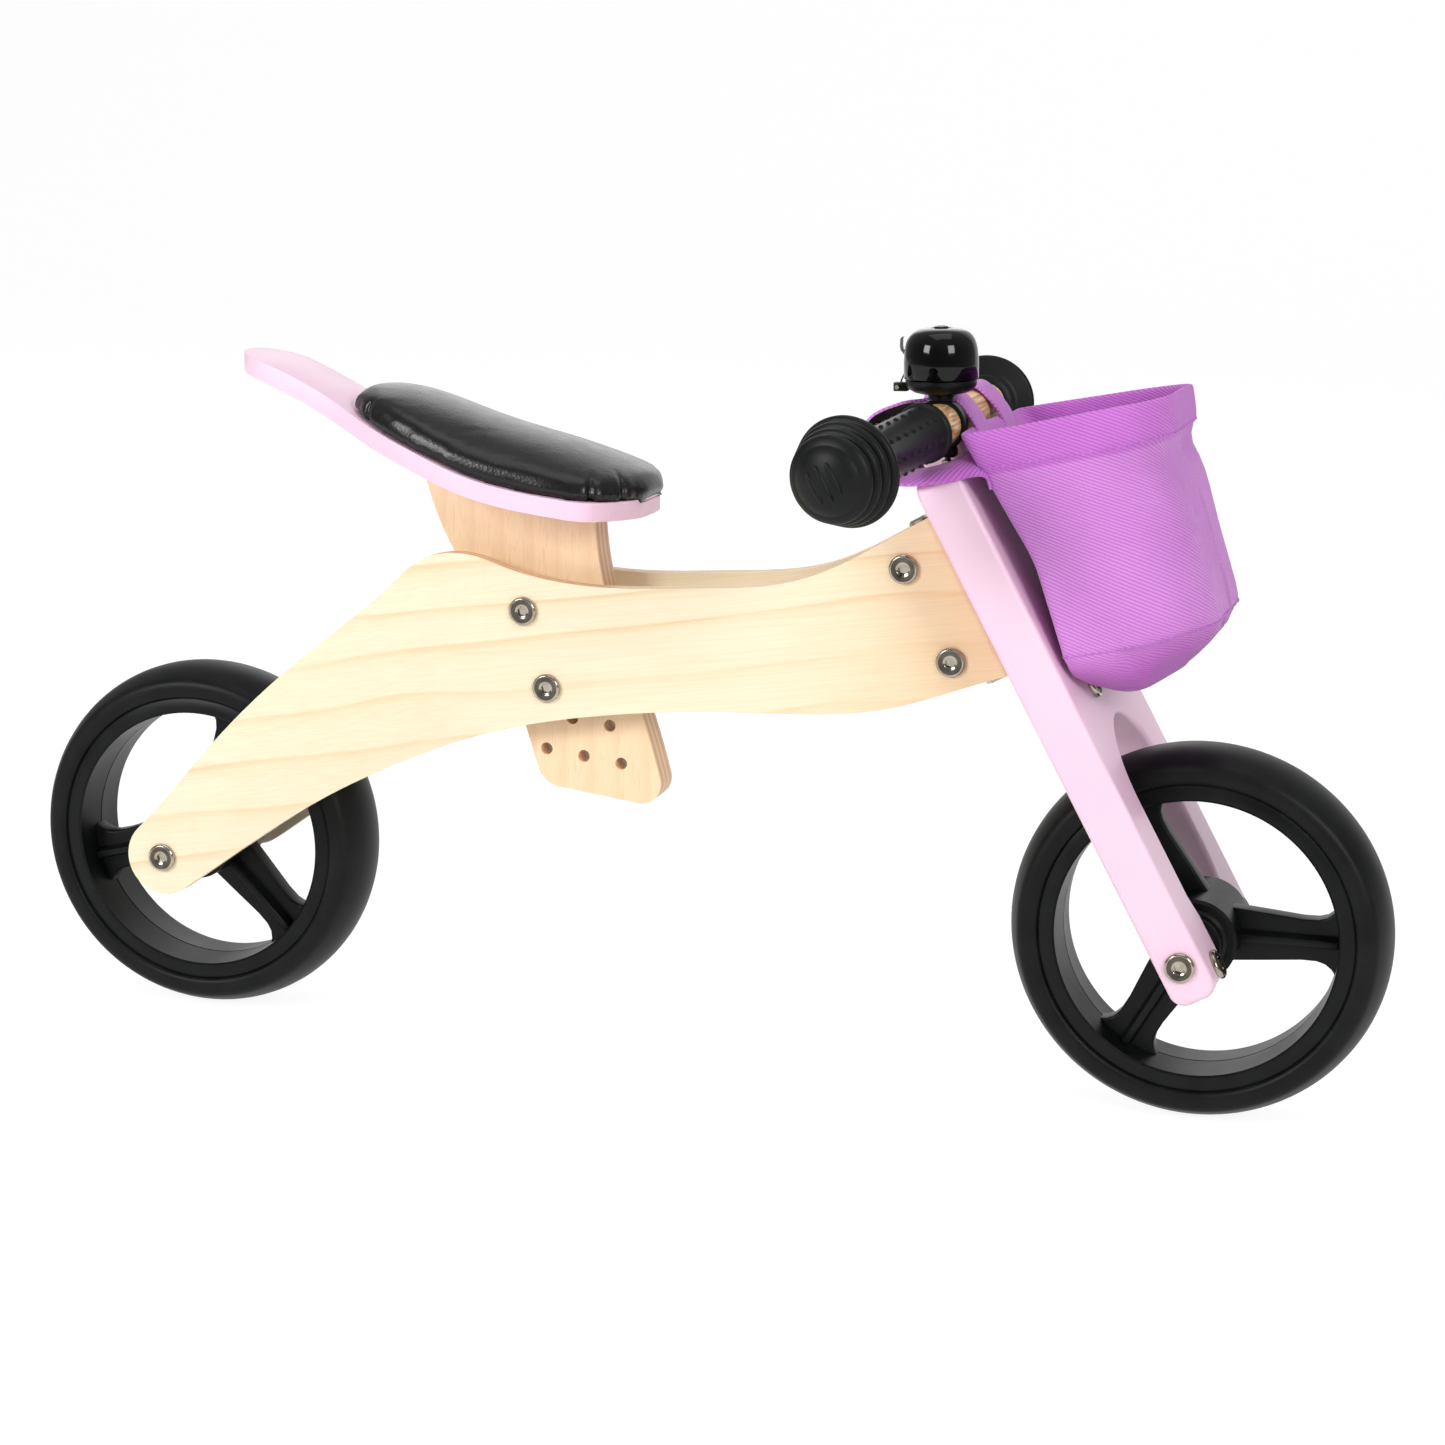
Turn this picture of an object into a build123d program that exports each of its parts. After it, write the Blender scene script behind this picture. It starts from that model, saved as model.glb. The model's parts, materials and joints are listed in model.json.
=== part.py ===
from build123d import *
import os
from math import cos, radians, sin, sqrt, tan

os.makedirs("parts", exist_ok=True)

# Whole bike, millimetres, X forward, Z up, origin on the floor midway between the axles
WHEELBASE = 512.7
WHEEL_D = 180.0
FORK_RAKE = 29.4
RUN_CLEAR = 0.05
SEAT_CLEAR = 0.02

# Wheels
TYRE_W = 44.0
TYRE_DEPTH = 16.0
TYRE_CROWN = 6.5
BEAD_GROOVE = 1.6
RIM_W = 40.0
RIM_DEPTH = 9.5
SPOKES = 3
SPOKE_PLATE = 10.0
SPOKE_HUB_W = 30.0
SPOKE_RIM_W = 21.0
SPOKE_FLARE = 11.0
RIB_W = 7.0
RIB_DEPTH = 22.0
HUB_D = 40.0
HUB_W = 46.0
NOSE_D = 28.0
NOSE_W = 61.0
AXLE_D = 10.0
BUSH_D = 16.0
BUSH_FLANGE_D = 22.0
BUSH_FLANGE = 1.0
BUSH_L = 20.0
HUB_SIDE_PLAY = 0.5

# Connector bolts
BOLT_HEAD_D = 14.0
BOLT_HEAD_H = 2.5
BOLT_CHAMFER = 0.8
BOLT_D = 6.0
BOLT_SOCKET = 5.0
SOCKET_DEPTH = 1.6
AXLE_BOLT_L = 20.0

# Side panels
PANEL_T = 8.0
HEAD_GAP = 41.0
TAIL_GAP = 98.0
BEND_FRONT = 150.0
BEND_REAR = 30.0
BEND_R = 110.0
TAIL_R = 19.3
PANEL_TOP_ALONG = 231.5
PANEL_LOW_ALONG = 149.0
PANEL_NOSE_R = 3.9
STEER_GAP = 8.0

# Head block and steering
HEAD_LOW = 159.0
HEAD_HIGH = 223.0
HEAD_DEPTH = 42.0
HEAD_BOLT_INSET = 7.7
HEAD_BOLT_BACK = 42.0
AXIS_BACK = 30.0
PIN_D = 10.0
PIN_HEAD_D = 16.0
PIN_HEAD_H = 4.5
NUT_H = 5.5
STEER_BUSH_D = 14.0
STEER_BUSH_L = 16.0
STEER_FLANGE_D = 22.0
STEER_FLANGE = 1.5
STEER_PLAY = 0.1
BRACKET_T = 4.0
LUG_W = 24.0
UPPER_NECK = 12.0
LOWER_NECK = 18.0
BRACKET_W = 58.0
BRACKET_FOOT = 21.0
BRACKET_BOLT_Y = 20.0

# Fork board, measured up the board from the front axle
FORK_T = 22.0
FORK_W = 131.6
FORK_TOP = 260.0
FORK_SHOULDER = 248.0
SADDLE_W = 64.0
FORK_END = 18.0
END_R = 7.0
FORK_EDGE = 2.6
SLOT_W = 72.0
ARCH_GAP = 19.0
LEG_STEP_LOW = 12.0
LEG_STEP_HIGH = 24.0
LEG_BOLT_DOWN = 9.0
LEG_BOLT_Y = 48.0
LEG_BOLT_L = 20.0

# Handlebar, grips and dowels
BAR_D = 20.0
BAR_ALONG = 267.0
BAR_NORMAL = 8.0
BAR_FLAT = 50.6
BAR_SWEEP = 12.6
BAR_BEND_R = 40.0
WING_L = 108.0
DOWEL_D = 6.0
DOWEL_Y = 9.0
DOWEL_NORMAL = 3.0
DOWEL_DEEP = 22.0
DOWEL_IN_BAR = 5.0
GRIP_D = 25.0
GRIP_START = 6.0
GRIP_FLANGE_D = 30.0
GRIP_FLANGE = 3.0
BUMPER_D = 49.0
BUMPER_START = 91.0
BUMPER_STEP = 5.0
BUMPER_DROP = 1.7
BUMPER_GROOVE = 1.1
DOME_H = 8.0

# Seat post, measured from the lower post bolt
POST_X = 194.4
POST_Z = 96.6
POST_T = 18.0
HOLE_DX = 6.2
HOLE_DZ = 18.6
HOLE_PITCH = 19.5
HOLE_ROW_DROP = 2.2
HOLE_D = 6.0
HOLES_BELOW = 2
POST_BOLT_STEP = 2
SPACER_D = 13.0

# Seat board and pad
BOARD_T = 9.0
TAIL_HALF = 23.0
SEAT_HALF = 47.0
SEAT_FRONT = 43.4
SEAT_NOSE = 29.0
PAD_INSET = 1.0
PAD_OVERHANG = 3.0
PAD_CROWN = 22.0
SCREW_D = 4.0
SCREW_HEAD_D = 8.0
SCREW_HEAD_H = 2.4
SCREW_L = 30.0

# Bell
BELL_Y = -41.0
BELL_LEAN = 2.0
BELL_D = 34.0
CLAMP_W = 9.0
CLAMP_T = 2.6
STEM_D = 11.0
BOWL_BASE = 13.0
SEAM = 20.4
SEAM_GAP = 0.6
DOME_SKIRT = 5.5
DOME_TOP = 44.0
DOME_WALL = 1.4
POST_D = 6.4
STRIKER_X = 19.7
STRIKER_Z = 17.0
STRIKER_W = 7.0
STRIKER_T = 1.8
STRIKER_TOP = 39.0
STRIKER_PIN_D = 2.0
KNOB_D = 5.0
KNOB_Z = 34.0
KNOB_GAP = 0.5

# Front bag and straps
BAG_ALONG = 144.0
BAG_NORMAL = 11.9
BAG_TILT = 12.0
BAG_H = 112.0
BAG_HALF = 64.0
BAG_WALL = 2.0
BAG_BACK_R = 10.0
STRAP_W = 22.0
STRAP_T = 1.6
STRAP_R = 18.6
STRAP_SAG = 5.2
STRAP_OFF = 1.0
STRAP_REACH = 26.0
STRAP_END_R = 9.0
STRAP_DROP = 18.0
STRAP_GAP = 0.5

# Places worked out from the sizes above
AXLE_Z = WHEEL_D / 2
TYRE_SEAT_D = WHEEL_D - 2 * TYRE_DEPTH
RIM_INNER_D = TYRE_SEAT_D - 2 * RIM_DEPTH
REAR_X = -WHEELBASE / 2
FRONT_X = WHEELBASE / 2
RAKE_S = sin(radians(FORK_RAKE))
RAKE_C = cos(radians(FORK_RAKE))
HEAD_HALF = HEAD_GAP / 2 + PANEL_T
TAIL_OUT = TAIL_GAP / 2 + PANEL_T
HUB_HALF = NOSE_W / 2 + BUSH_FLANGE
LEG_INNER = HUB_HALF + HUB_SIDE_PLAY
FORK_REAR = -FORK_T / 2
PANEL_FRONT = FORK_REAR - STEER_GAP
BOLT_HOLE = BOLT_D / 2 + RUN_CLEAR
NORMAL = Vector(RAKE_C, 0, RAKE_S)
ALONG = Vector(-RAKE_S, 0, RAKE_C)
FRONT_AXLE = Vector(FRONT_X, 0, AXLE_Z)


def fork_point(along, normal, y=0.0):
    """World point from a place up the fork board, off its middle plane and across it."""
    return FRONT_AXLE + ALONG * along + NORMAL * normal + Vector(0, y, 0)


def fork_face(normal):
    """Plane on the fork board: local x across the bike, local y up the board."""
    return Plane(origin=fork_point(0, normal), x_dir=(0, 1, 0), z_dir=NORMAL)


def fork_cross(along):
    """Plane square to the fork board: local x forward off the board, local y across."""
    return Plane(origin=fork_point(along, 0), x_dir=NORMAL, z_dir=ALONG)


def fork_side(y):
    """Plane seen from the right: local x forward off the board, local y up the board."""
    return Plane(origin=fork_point(0, 0, y), x_dir=NORMAL, z_dir=(0, -1, 0))


def rear_xz(forward, up):
    """Side-view point measured from the rear axle."""
    return (REAR_X + forward, AXLE_Z + up)


def fork_xz(along, normal):
    """Side-view point measured up the fork board."""
    place = fork_point(along, normal)
    return (place.X, place.Z)


def side_plane(x, z, y):
    """Plane facing out of the bike at a side-view point, at the given distance out."""
    facing = 1 if y > 0 else -1
    return Plane(origin=(x, y, z), x_dir=(-facing, 0, 0), z_dir=(0, facing, 0))


# Seat board section: stations from the lower post bolt, forward, up and slope
seat_stations = [
    (-170.4, 154.4, -9),
    (-146.4, 148.3, -21),
    (-102.4, 128.0, -23),
    (-57.4, 110.6, -19.5),
    (-28.4, 101.2, -13.5),
    (10.6, 95.3, -4),
    (SEAT_FRONT, 93.0, -3),
]
POST_AT = rear_xz(POST_X, POST_Z)
seat_top = []
seat_under = []
for ahead, above, slope in seat_stations:
    seat_top.append((POST_AT[0] + ahead, POST_AT[1] + above))
    tilt = radians(slope)
    under_x = POST_AT[0] + ahead + BOARD_T * sin(tilt)
    seat_under.append((under_x, POST_AT[1] + above - BOARD_T * cos(tilt)))
tail_slope = radians(seat_stations[0][2])
nose_slope = radians(seat_stations[-1][2])
seat_tangents = [(cos(tail_slope), sin(tail_slope)), (cos(nose_slope), sin(nose_slope))]

# Side panels: a bent strip seen from above, cut to the outline seen from the side
splay = (TAIL_OUT - HEAD_HALF) / (BEND_FRONT - BEND_REAR)
half_turn = PANEL_T * (sqrt(1 + splay * splay) - 1) / splay
strip_front = WHEELBASE
strip_rear = -2 * TAIL_R
post_bolt_top = (POST_AT[0] - POST_BOLT_STEP * HOLE_DX, POST_AT[1] + POST_BOLT_STEP * HOLE_DZ)
head_bolt_low = fork_xz(HEAD_LOW + HEAD_BOLT_INSET, -HEAD_BOLT_BACK)
head_bolt_high = fork_xz(HEAD_HIGH - HEAD_BOLT_INSET, -HEAD_BOLT_BACK)
post_bolts_at = [POST_AT, post_bolt_top]
head_bolts_at = [head_bolt_low, head_bolt_high]

with BuildPart() as side_panel_right:
    with BuildSketch():
        with BuildLine():
            outer = FilletPolyline(
                (REAR_X + strip_front, -HEAD_HALF),
                (REAR_X + BEND_FRONT, -HEAD_HALF),
                (REAR_X + BEND_REAR, -TAIL_OUT),
                (REAR_X + strip_rear, -TAIL_OUT),
                radius=[BEND_R, BEND_R + PANEL_T],
            )
            inner = FilletPolyline(
                (REAR_X + strip_front, PANEL_T - HEAD_HALF),
                (REAR_X + BEND_FRONT - half_turn, PANEL_T - HEAD_HALF),
                (REAR_X + BEND_REAR - half_turn, PANEL_T - TAIL_OUT),
                (REAR_X + strip_rear, PANEL_T - TAIL_OUT),
                radius=[BEND_R + PANEL_T, BEND_R],
            )
            Line(outer @ 0, inner @ 0)
            Line(outer @ 1, inner @ 1)
        make_face()
    extrude(amount=WHEELBASE)
    with BuildSketch(Plane.XZ):
        with BuildLine():
            tail_top = rear_xz(-TAIL_R * sin(radians(45)), TAIL_R * cos(radians(45)))
            tail_back = rear_xz(-TAIL_R * cos(radians(30)), -TAIL_R * sin(radians(30)))
            tail_low = rear_xz(TAIL_R * sin(radians(36)), -TAIL_R * cos(radians(36)))
            crest = rear_xz(147, 160)
            ThreePointArc(tail_low, tail_back, tail_top)
            Spline(
                tail_top,
                rear_xz(32.7, 66),
                rear_xz(72.1, 105.1),
                rear_xz(115.8, 143.3),
                crest,
                tangents=[(cos(radians(45)), sin(radians(45))), (1, 0)],
            )
            Spline(
                crest,
                rear_xz(171, 154.8),
                rear_xz(221.2, 148),
                rear_xz(271.5, 151),
                fork_xz(PANEL_TOP_ALONG + 1.5, -93),
                fork_xz(PANEL_TOP_ALONG, PANEL_FRONT),
                tangents=[(1, 0), (RAKE_C, RAKE_S)],
            )
            Line(fork_xz(PANEL_TOP_ALONG, PANEL_FRONT), fork_xz(PANEL_LOW_ALONG, PANEL_FRONT))
            Spline(
                fork_xz(PANEL_LOW_ALONG, PANEL_FRONT),
                fork_xz(159.5, -79),
                rear_xz(285, 91.8),
                rear_xz(221.9, 84.9),
                rear_xz(151.7, 67.5),
                rear_xz(93.3, 41.1),
                tail_low,
                tangents=[(-cos(radians(17)), -sin(radians(17))), (-cos(radians(36)), -sin(radians(36)))],
            )
        make_face()
    extrude(amount=WHEELBASE, both=True, mode=Mode.INTERSECT)
    with BuildSketch(Plane.XZ):
        with Locations(*post_bolts_at, *head_bolts_at):
            Circle(BOLT_HOLE)
        with Locations(rear_xz(0, 0)):
            Circle(AXLE_D / 2 + RUN_CLEAR)
    extrude(amount=WHEELBASE, both=True, mode=Mode.SUBTRACT)
    nose_axis = Axis(fork_point(0, 0), NORMAL)
    nose_edges = side_panel_right.faces().sort_by(nose_axis)[-1].edges().filter_by(Axis((0, 0, 0), ALONG))
    fillet(nose_edges.sort_by(Axis.Y)[0], radius=PANEL_NOSE_R)
side_panel_right.part.label = "side_panel_right"
export_step(side_panel_right.part, "parts/side_panel_right.step")

with BuildPart() as side_panel_left:
    add(mirror(side_panel_right.part, about=Plane.XZ, mode=Mode.PRIVATE))
side_panel_left.part.label = "side_panel_left"
export_step(side_panel_left.part, "parts/side_panel_left.step")

# Head block with its steering bore and bolt holes
head_front = PANEL_FRONT - 1.0
with BuildPart() as head_block:
    with BuildSketch(fork_cross(HEAD_LOW)):
        with Locations((head_front - HEAD_DEPTH / 2, 0)):
            RectangleRounded(HEAD_DEPTH, HEAD_GAP, 3.0)
        with Locations((-AXIS_BACK, 0)):
            Circle(STEER_BUSH_D / 2 + SEAT_CLEAR, mode=Mode.SUBTRACT)
    extrude(amount=HEAD_HIGH - HEAD_LOW)
    with BuildSketch(Plane.XZ):
        with Locations(*head_bolts_at):
            Circle(BOLT_HOLE)
    extrude(amount=HEAD_GAP, both=True, mode=Mode.SUBTRACT)
head_block.part.label = "head_block"
export_step(head_block.part, "parts/head_block.step")

with BuildPart() as steering_bushes:
    with BuildSketch(fork_cross(HEAD_LOW)):
        with Locations((-AXIS_BACK, 0)):
            Circle(STEER_BUSH_D / 2)
    extrude(amount=STEER_BUSH_L)
    with BuildSketch(fork_cross(HEAD_LOW)):
        with Locations((-AXIS_BACK, 0)):
            Circle(STEER_FLANGE_D / 2)
    extrude(amount=-STEER_FLANGE)
    with BuildSketch(fork_cross(HEAD_HIGH)):
        with Locations((-AXIS_BACK, 0)):
            Circle(STEER_BUSH_D / 2)
    extrude(amount=-STEER_BUSH_L)
    with BuildSketch(fork_cross(HEAD_HIGH)):
        with Locations((-AXIS_BACK, 0)):
            Circle(STEER_FLANGE_D / 2)
    extrude(amount=STEER_FLANGE)
    with BuildSketch(fork_cross(0)):
        with Locations((-AXIS_BACK, 0)):
            Circle(PIN_D / 2 + RUN_CLEAR)
    extrude(amount=WHEELBASE, mode=Mode.SUBTRACT)
steering_bushes.part.label = "steering_bushes"
export_step(steering_bushes.part, "parts/steering_bushes.step")

# Bolts clamping the panels to the head block, headed on both sides
with BuildPart() as head_block_bolts:
    right_seats = [side_plane(x, z, -HEAD_HALF) for x, z in head_bolts_at]
    left_seats = [side_plane(x, z, HEAD_HALF) for x, z in head_bolts_at]
    head_seats = right_seats + left_seats
    with BuildSketch(*head_seats):
        Circle(BOLT_HEAD_D / 2)
    extrude(amount=BOLT_HEAD_H)
    chamfer(head_block_bolts.faces().filter_by(Axis.Y).group_by(Axis.Y)[0].edges(), length=BOLT_CHAMFER)
    chamfer(head_block_bolts.faces().filter_by(Axis.Y).group_by(Axis.Y)[-1].edges(), length=BOLT_CHAMFER)
    with BuildSketch(*right_seats):
        Circle(BOLT_D / 2)
    extrude(amount=-2 * HEAD_HALF)
    with BuildSketch(*[seat.offset(BOLT_HEAD_H) for seat in head_seats]):
        RegularPolygon(BOLT_SOCKET / 2, 6)
    extrude(amount=-SOCKET_DEPTH, mode=Mode.SUBTRACT)
head_block_bolts.part.label = "head_block_bolts"
export_step(head_block_bolts.part, "parts/head_block_bolts.step")

# Seat board: bent strip cut to its plan, holes for its screws
screw_seats = []
for ahead, above, slope in seat_stations[3:6]:
    across = (cos(radians(slope)), 0, sin(radians(slope)))
    upward = (-sin(radians(slope)), 0, cos(radians(slope)))
    screw_seats.append(Plane(origin=(POST_AT[0] + ahead, 0, POST_AT[1] + above), x_dir=across, z_dir=upward))
tail_end = seat_top[0][0]
with BuildPart() as seat_board:
    with BuildSketch(Plane.XZ):
        with BuildLine():
            top_line = Spline(*seat_top, tangents=seat_tangents)
            low_line = Spline(*seat_under, tangents=seat_tangents)
            Line(top_line @ 0, low_line @ 0)
            Line(top_line @ 1, low_line @ 1)
        make_face()
    extrude(amount=SEAT_HALF * 2, both=True)
    with BuildSketch():
        with BuildLine():
            tail_round = (tail_end + TAIL_HALF, TAIL_HALF)
            front_x = POST_AT[0] + SEAT_FRONT - 0.4
            nose_x = front_x - SEAT_NOSE
            nose = []
            for turn in (0, 30, 60, 90):
                nose.append((nose_x + SEAT_NOSE * sin(radians(turn)), SEAT_HALF * cos(radians(turn))))
            flare = Spline(
                tail_round,
                (POST_AT[0] - 113, TAIL_HALF + 1.5),
                (POST_AT[0] - 86, SEAT_HALF - 11.5),
                (POST_AT[0] - 59, SEAT_HALF - 3.5),
                (POST_AT[0] - 24, SEAT_HALF),
                tangents=[(1, 0), (1, 0)],
            )
            Line(flare @ 1, nose[0])
            Spline(*nose, tangents=[(1, 0), (0, -1)])
            tail_mid = TAIL_HALF * sin(radians(45))
            tip_x = tail_end + 0.4
            ThreePointArc(
                tail_round,
                (tip_x + TAIL_HALF - tail_mid, tail_mid),
                (tip_x, 0),
            )
            Line((tip_x, 0), (front_x, 0))
        make_face()
        mirror(about=Plane.XZ)
    extrude(amount=WHEELBASE, mode=Mode.INTERSECT)
    with BuildSketch(*screw_seats):
        Circle(SCREW_D / 2 + RUN_CLEAR)
    extrude(amount=-SCREW_L, mode=Mode.SUBTRACT)
    with BuildSketch(*[seat.offset(1.0) for seat in screw_seats]):
        Circle(SCREW_HEAD_D / 2 + RUN_CLEAR)
    extrude(amount=-SCREW_HEAD_H - 1.3, mode=Mode.SUBTRACT)
seat_board.part.label = "seat_board"
export_step(seat_board.part, "parts/seat_board.step")

# Seat post: beech board with the grid of height holes, its top shaped to the seat board
with BuildPart() as seat_post:
    with BuildSketch(Plane.XZ):
        with BuildLine():
            foot_rear = (POST_AT[0] - 11, POST_AT[1] - 46)
            Spline(
                (POST_AT[0] - 76, POST_AT[1] + 112),
                (POST_AT[0] - 62.7, POST_AT[1] + 73.4),
                (POST_AT[0] - 48, POST_AT[1] + 47),
                (POST_AT[0] - 18.2, POST_AT[1] - 24.4),
                foot_rear,
                tangents=[(0.3, -0.95), (0.31, -0.95)],
            )
            ThreePointArc(
                foot_rear,
                (POST_AT[0] - 6.5, POST_AT[1] - 51.6),
                (POST_AT[0] + 1, POST_AT[1] - 54),
            )
            Line((POST_AT[0] + 1, POST_AT[1] - 54), (POST_AT[0] + 39, POST_AT[1] - 58.4))
            ThreePointArc(
                (POST_AT[0] + 39, POST_AT[1] - 58.4),
                (POST_AT[0] + 50, POST_AT[1] - 55),
                (POST_AT[0] + 52, POST_AT[1] - 45),
            )
            Spline(
                (POST_AT[0] + 52, POST_AT[1] - 45),
                (POST_AT[0] + 41.7, POST_AT[1] - 12.4),
                (POST_AT[0] + 22, POST_AT[1] + 48.3),
                (POST_AT[0] + 19, POST_AT[1] + 112),
            )
            Line((POST_AT[0] + 19, POST_AT[1] + 112), (POST_AT[0] - 76, POST_AT[1] + 112))
        make_face()
    extrude(amount=POST_T / 2, both=True)
    with BuildSketch(Plane.XZ):
        with BuildLine():
            under = Spline(*seat_under, tangents=seat_tangents)
            lid_z = POST_AT[1] + 200
            Line(under @ 0, (seat_under[0][0], lid_z))
            Line((seat_under[0][0], lid_z), (seat_under[-1][0], lid_z))
            Line((seat_under[-1][0], lid_z), under @ 1)
        make_face()
    extrude(amount=POST_T, both=True, mode=Mode.SUBTRACT)
    hole_places = []
    for column in (-1, 0, 1):
        for row in range(-HOLES_BELOW, POST_BOLT_STEP + 1):
            hole_x = POST_AT[0] + column * HOLE_PITCH - row * HOLE_DX
            hole_z = POST_AT[1] - column * HOLE_ROW_DROP + row * HOLE_DZ
            hole_places.append((hole_x, hole_z))
    with BuildSketch(Plane.XZ):
        with Locations(*hole_places):
            Circle(HOLE_D / 2 + RUN_CLEAR)
    extrude(amount=POST_T, both=True, mode=Mode.SUBTRACT)
    with BuildSketch(*screw_seats):
        Circle(SCREW_D / 2 + RUN_CLEAR)
    extrude(amount=-SCREW_L - 1, mode=Mode.SUBTRACT)
seat_post.part.label = "seat_post"
export_step(seat_post.part, "parts/seat_post.step")

with BuildPart() as seat_board_screws:
    with BuildSketch(*[seat.offset(-0.3) for seat in screw_seats]):
        Circle(SCREW_HEAD_D / 2)
    extrude(amount=-SCREW_HEAD_H)
    with BuildSketch(*[seat.offset(-0.3) for seat in screw_seats]):
        Circle(SCREW_D / 2)
    extrude(amount=-SCREW_L)
    with BuildSketch(*[seat.offset(-0.3) for seat in screw_seats]):
        Rectangle(4.4, 1.0)
        Rectangle(1.0, 4.4)
    extrude(amount=-1.4, mode=Mode.SUBTRACT)
seat_board_screws.part.label = "seat_board_screws"
export_step(seat_board_screws.part, "parts/seat_board_screws.step")

# Tubes that centre the seat post between the panels
with BuildPart() as seat_post_spacers:
    with BuildSketch(Plane.XZ):
        with Locations(*post_bolts_at):
            Circle(SPACER_D / 2)
            Circle(BOLT_HOLE, mode=Mode.SUBTRACT)
    extrude(amount=HEAD_GAP / 2, both=True)
    with BuildSketch(Plane.XZ):
        with Locations(POST_AT):
            Rectangle(WHEELBASE, WHEELBASE)
    extrude(amount=POST_T / 2, both=True, mode=Mode.SUBTRACT)
seat_post_spacers.part.label = "seat_post_spacers"
export_step(seat_post_spacers.part, "parts/seat_post_spacers.step")

with BuildPart() as seat_post_bolts:
    right_seats = [side_plane(x, z, -HEAD_HALF) for x, z in post_bolts_at]
    left_seats = [side_plane(x, z, HEAD_HALF) for x, z in post_bolts_at]
    post_seats = right_seats + left_seats
    with BuildSketch(*post_seats):
        Circle(BOLT_HEAD_D / 2)
    extrude(amount=BOLT_HEAD_H)
    chamfer(seat_post_bolts.faces().filter_by(Axis.Y).group_by(Axis.Y)[0].edges(), length=BOLT_CHAMFER)
    chamfer(seat_post_bolts.faces().filter_by(Axis.Y).group_by(Axis.Y)[-1].edges(), length=BOLT_CHAMFER)
    with BuildSketch(*right_seats):
        Circle(BOLT_D / 2)
    extrude(amount=-2 * HEAD_HALF)
    with BuildSketch(*[seat.offset(BOLT_HEAD_H) for seat in post_seats]):
        RegularPolygon(BOLT_SOCKET / 2, 6)
    extrude(amount=-SOCKET_DEPTH, mode=Mode.SUBTRACT)
seat_post_bolts.part.label = "seat_post_bolts"
export_step(seat_post_bolts.part, "parts/seat_post_bolts.step")

# Seat pad: crowned sections one behind the other, seated on the board
pad_stations = [
    (-107.0, 17.0, 0.30, 0.40),
    (-99.0, 26.0, 0.50, 0.64),
    (-88.0, 34.0, 0.62, 0.82),
    (-66.0, 41.5, 0.66, 0.97),
    (-36.0, 45.5, 0.62, 1.02),
    (-4.0, 46.2, 0.58, 0.98),
    (18.0, 44.8, 0.50, 0.84),
    (32.0, 38.0, 0.46, 0.68),
    (41.0, 26.0, 0.42, 0.56),
    (SEAT_FRONT + PAD_OVERHANG, 12.0, 0.34, 0.42),
]
with BuildPart() as seat_pad:
    for ahead, half, edge_share, crown_share in pad_stations:
        base_z = POST_AT[1] + seat_stations[-1][1]
        for before, after in zip(seat_stations, seat_stations[1:]):
            if before[0] <= ahead <= after[0]:
                part_way = (ahead - before[0]) / (after[0] - before[0])
                base_z = POST_AT[1] + before[1] + (after[1] - before[1]) * part_way
        section = Plane(origin=(POST_AT[0] + ahead, 0, base_z - 2.0), x_dir=(0, 1, 0), z_dir=(1, 0, 0))
        edge_z = 2.0 + PAD_CROWN * edge_share
        with BuildSketch(section):
            with BuildLine():
                Line((-half, 0), (half, 0))
                ThreePointArc((half, 0), (half + 1.0, edge_z * 0.55), (half - 2.5, edge_z))
                ThreePointArc((half - 2.5, edge_z), (0, 2.0 + PAD_CROWN * crown_share), (2.5 - half, edge_z))
                ThreePointArc((2.5 - half, edge_z), (-half - 1.0, edge_z * 0.55), (-half, 0))
            make_face()
    loft()
    with BuildSketch(Plane.XZ):
        with BuildLine():
            under_pad = Spline(*seat_top, tangents=seat_tangents)
            floor_z = POST_AT[1]
            Line(under_pad @ 0, (seat_top[0][0], floor_z))
            Line((seat_top[0][0], floor_z), (seat_top[-1][0], floor_z))
            Line((seat_top[-1][0], floor_z), under_pad @ 1)
        make_face()
    extrude(amount=2 * SEAT_HALF, both=True, mode=Mode.SUBTRACT)
seat_pad.part.label = "seat_pad"
export_step(seat_pad.part, "parts/seat_pad.step")

# Rear axle across the splayed panels, with its spacers and end bolts
with BuildPart() as rear_axle:
    with BuildSketch(Plane.XZ):
        with Locations(rear_xz(0, 0)):
            Circle(AXLE_D / 2)
    extrude(amount=TAIL_OUT, both=True)
    axle_ends = [side_plane(REAR_X, AXLE_Z, -TAIL_OUT), side_plane(REAR_X, AXLE_Z, TAIL_OUT)]
    with BuildSketch(*axle_ends):
        Circle(BOLT_HOLE)
    extrude(amount=-AXLE_BOLT_L - 1, mode=Mode.SUBTRACT)
rear_axle.part.label = "rear_axle"
export_step(rear_axle.part, "parts/rear_axle.step")

with BuildPart() as rear_axle_bolts:
    with BuildSketch(*axle_ends):
        Circle(BOLT_HEAD_D / 2)
    extrude(amount=BOLT_HEAD_H)
    chamfer(rear_axle_bolts.faces().filter_by(Axis.Y).group_by(Axis.Y)[0].edges(), length=BOLT_CHAMFER)
    chamfer(rear_axle_bolts.faces().filter_by(Axis.Y).group_by(Axis.Y)[-1].edges(), length=BOLT_CHAMFER)
    with BuildSketch(*axle_ends):
        Circle(BOLT_D / 2)
    extrude(amount=-AXLE_BOLT_L)
    with BuildSketch(*[seat.offset(BOLT_HEAD_H) for seat in axle_ends]):
        RegularPolygon(BOLT_SOCKET / 2, 6)
    extrude(amount=-SOCKET_DEPTH, mode=Mode.SUBTRACT)
rear_axle_bolts.part.label = "rear_axle_bolts"
export_step(rear_axle_bolts.part, "parts/rear_axle_bolts.step")

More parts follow.
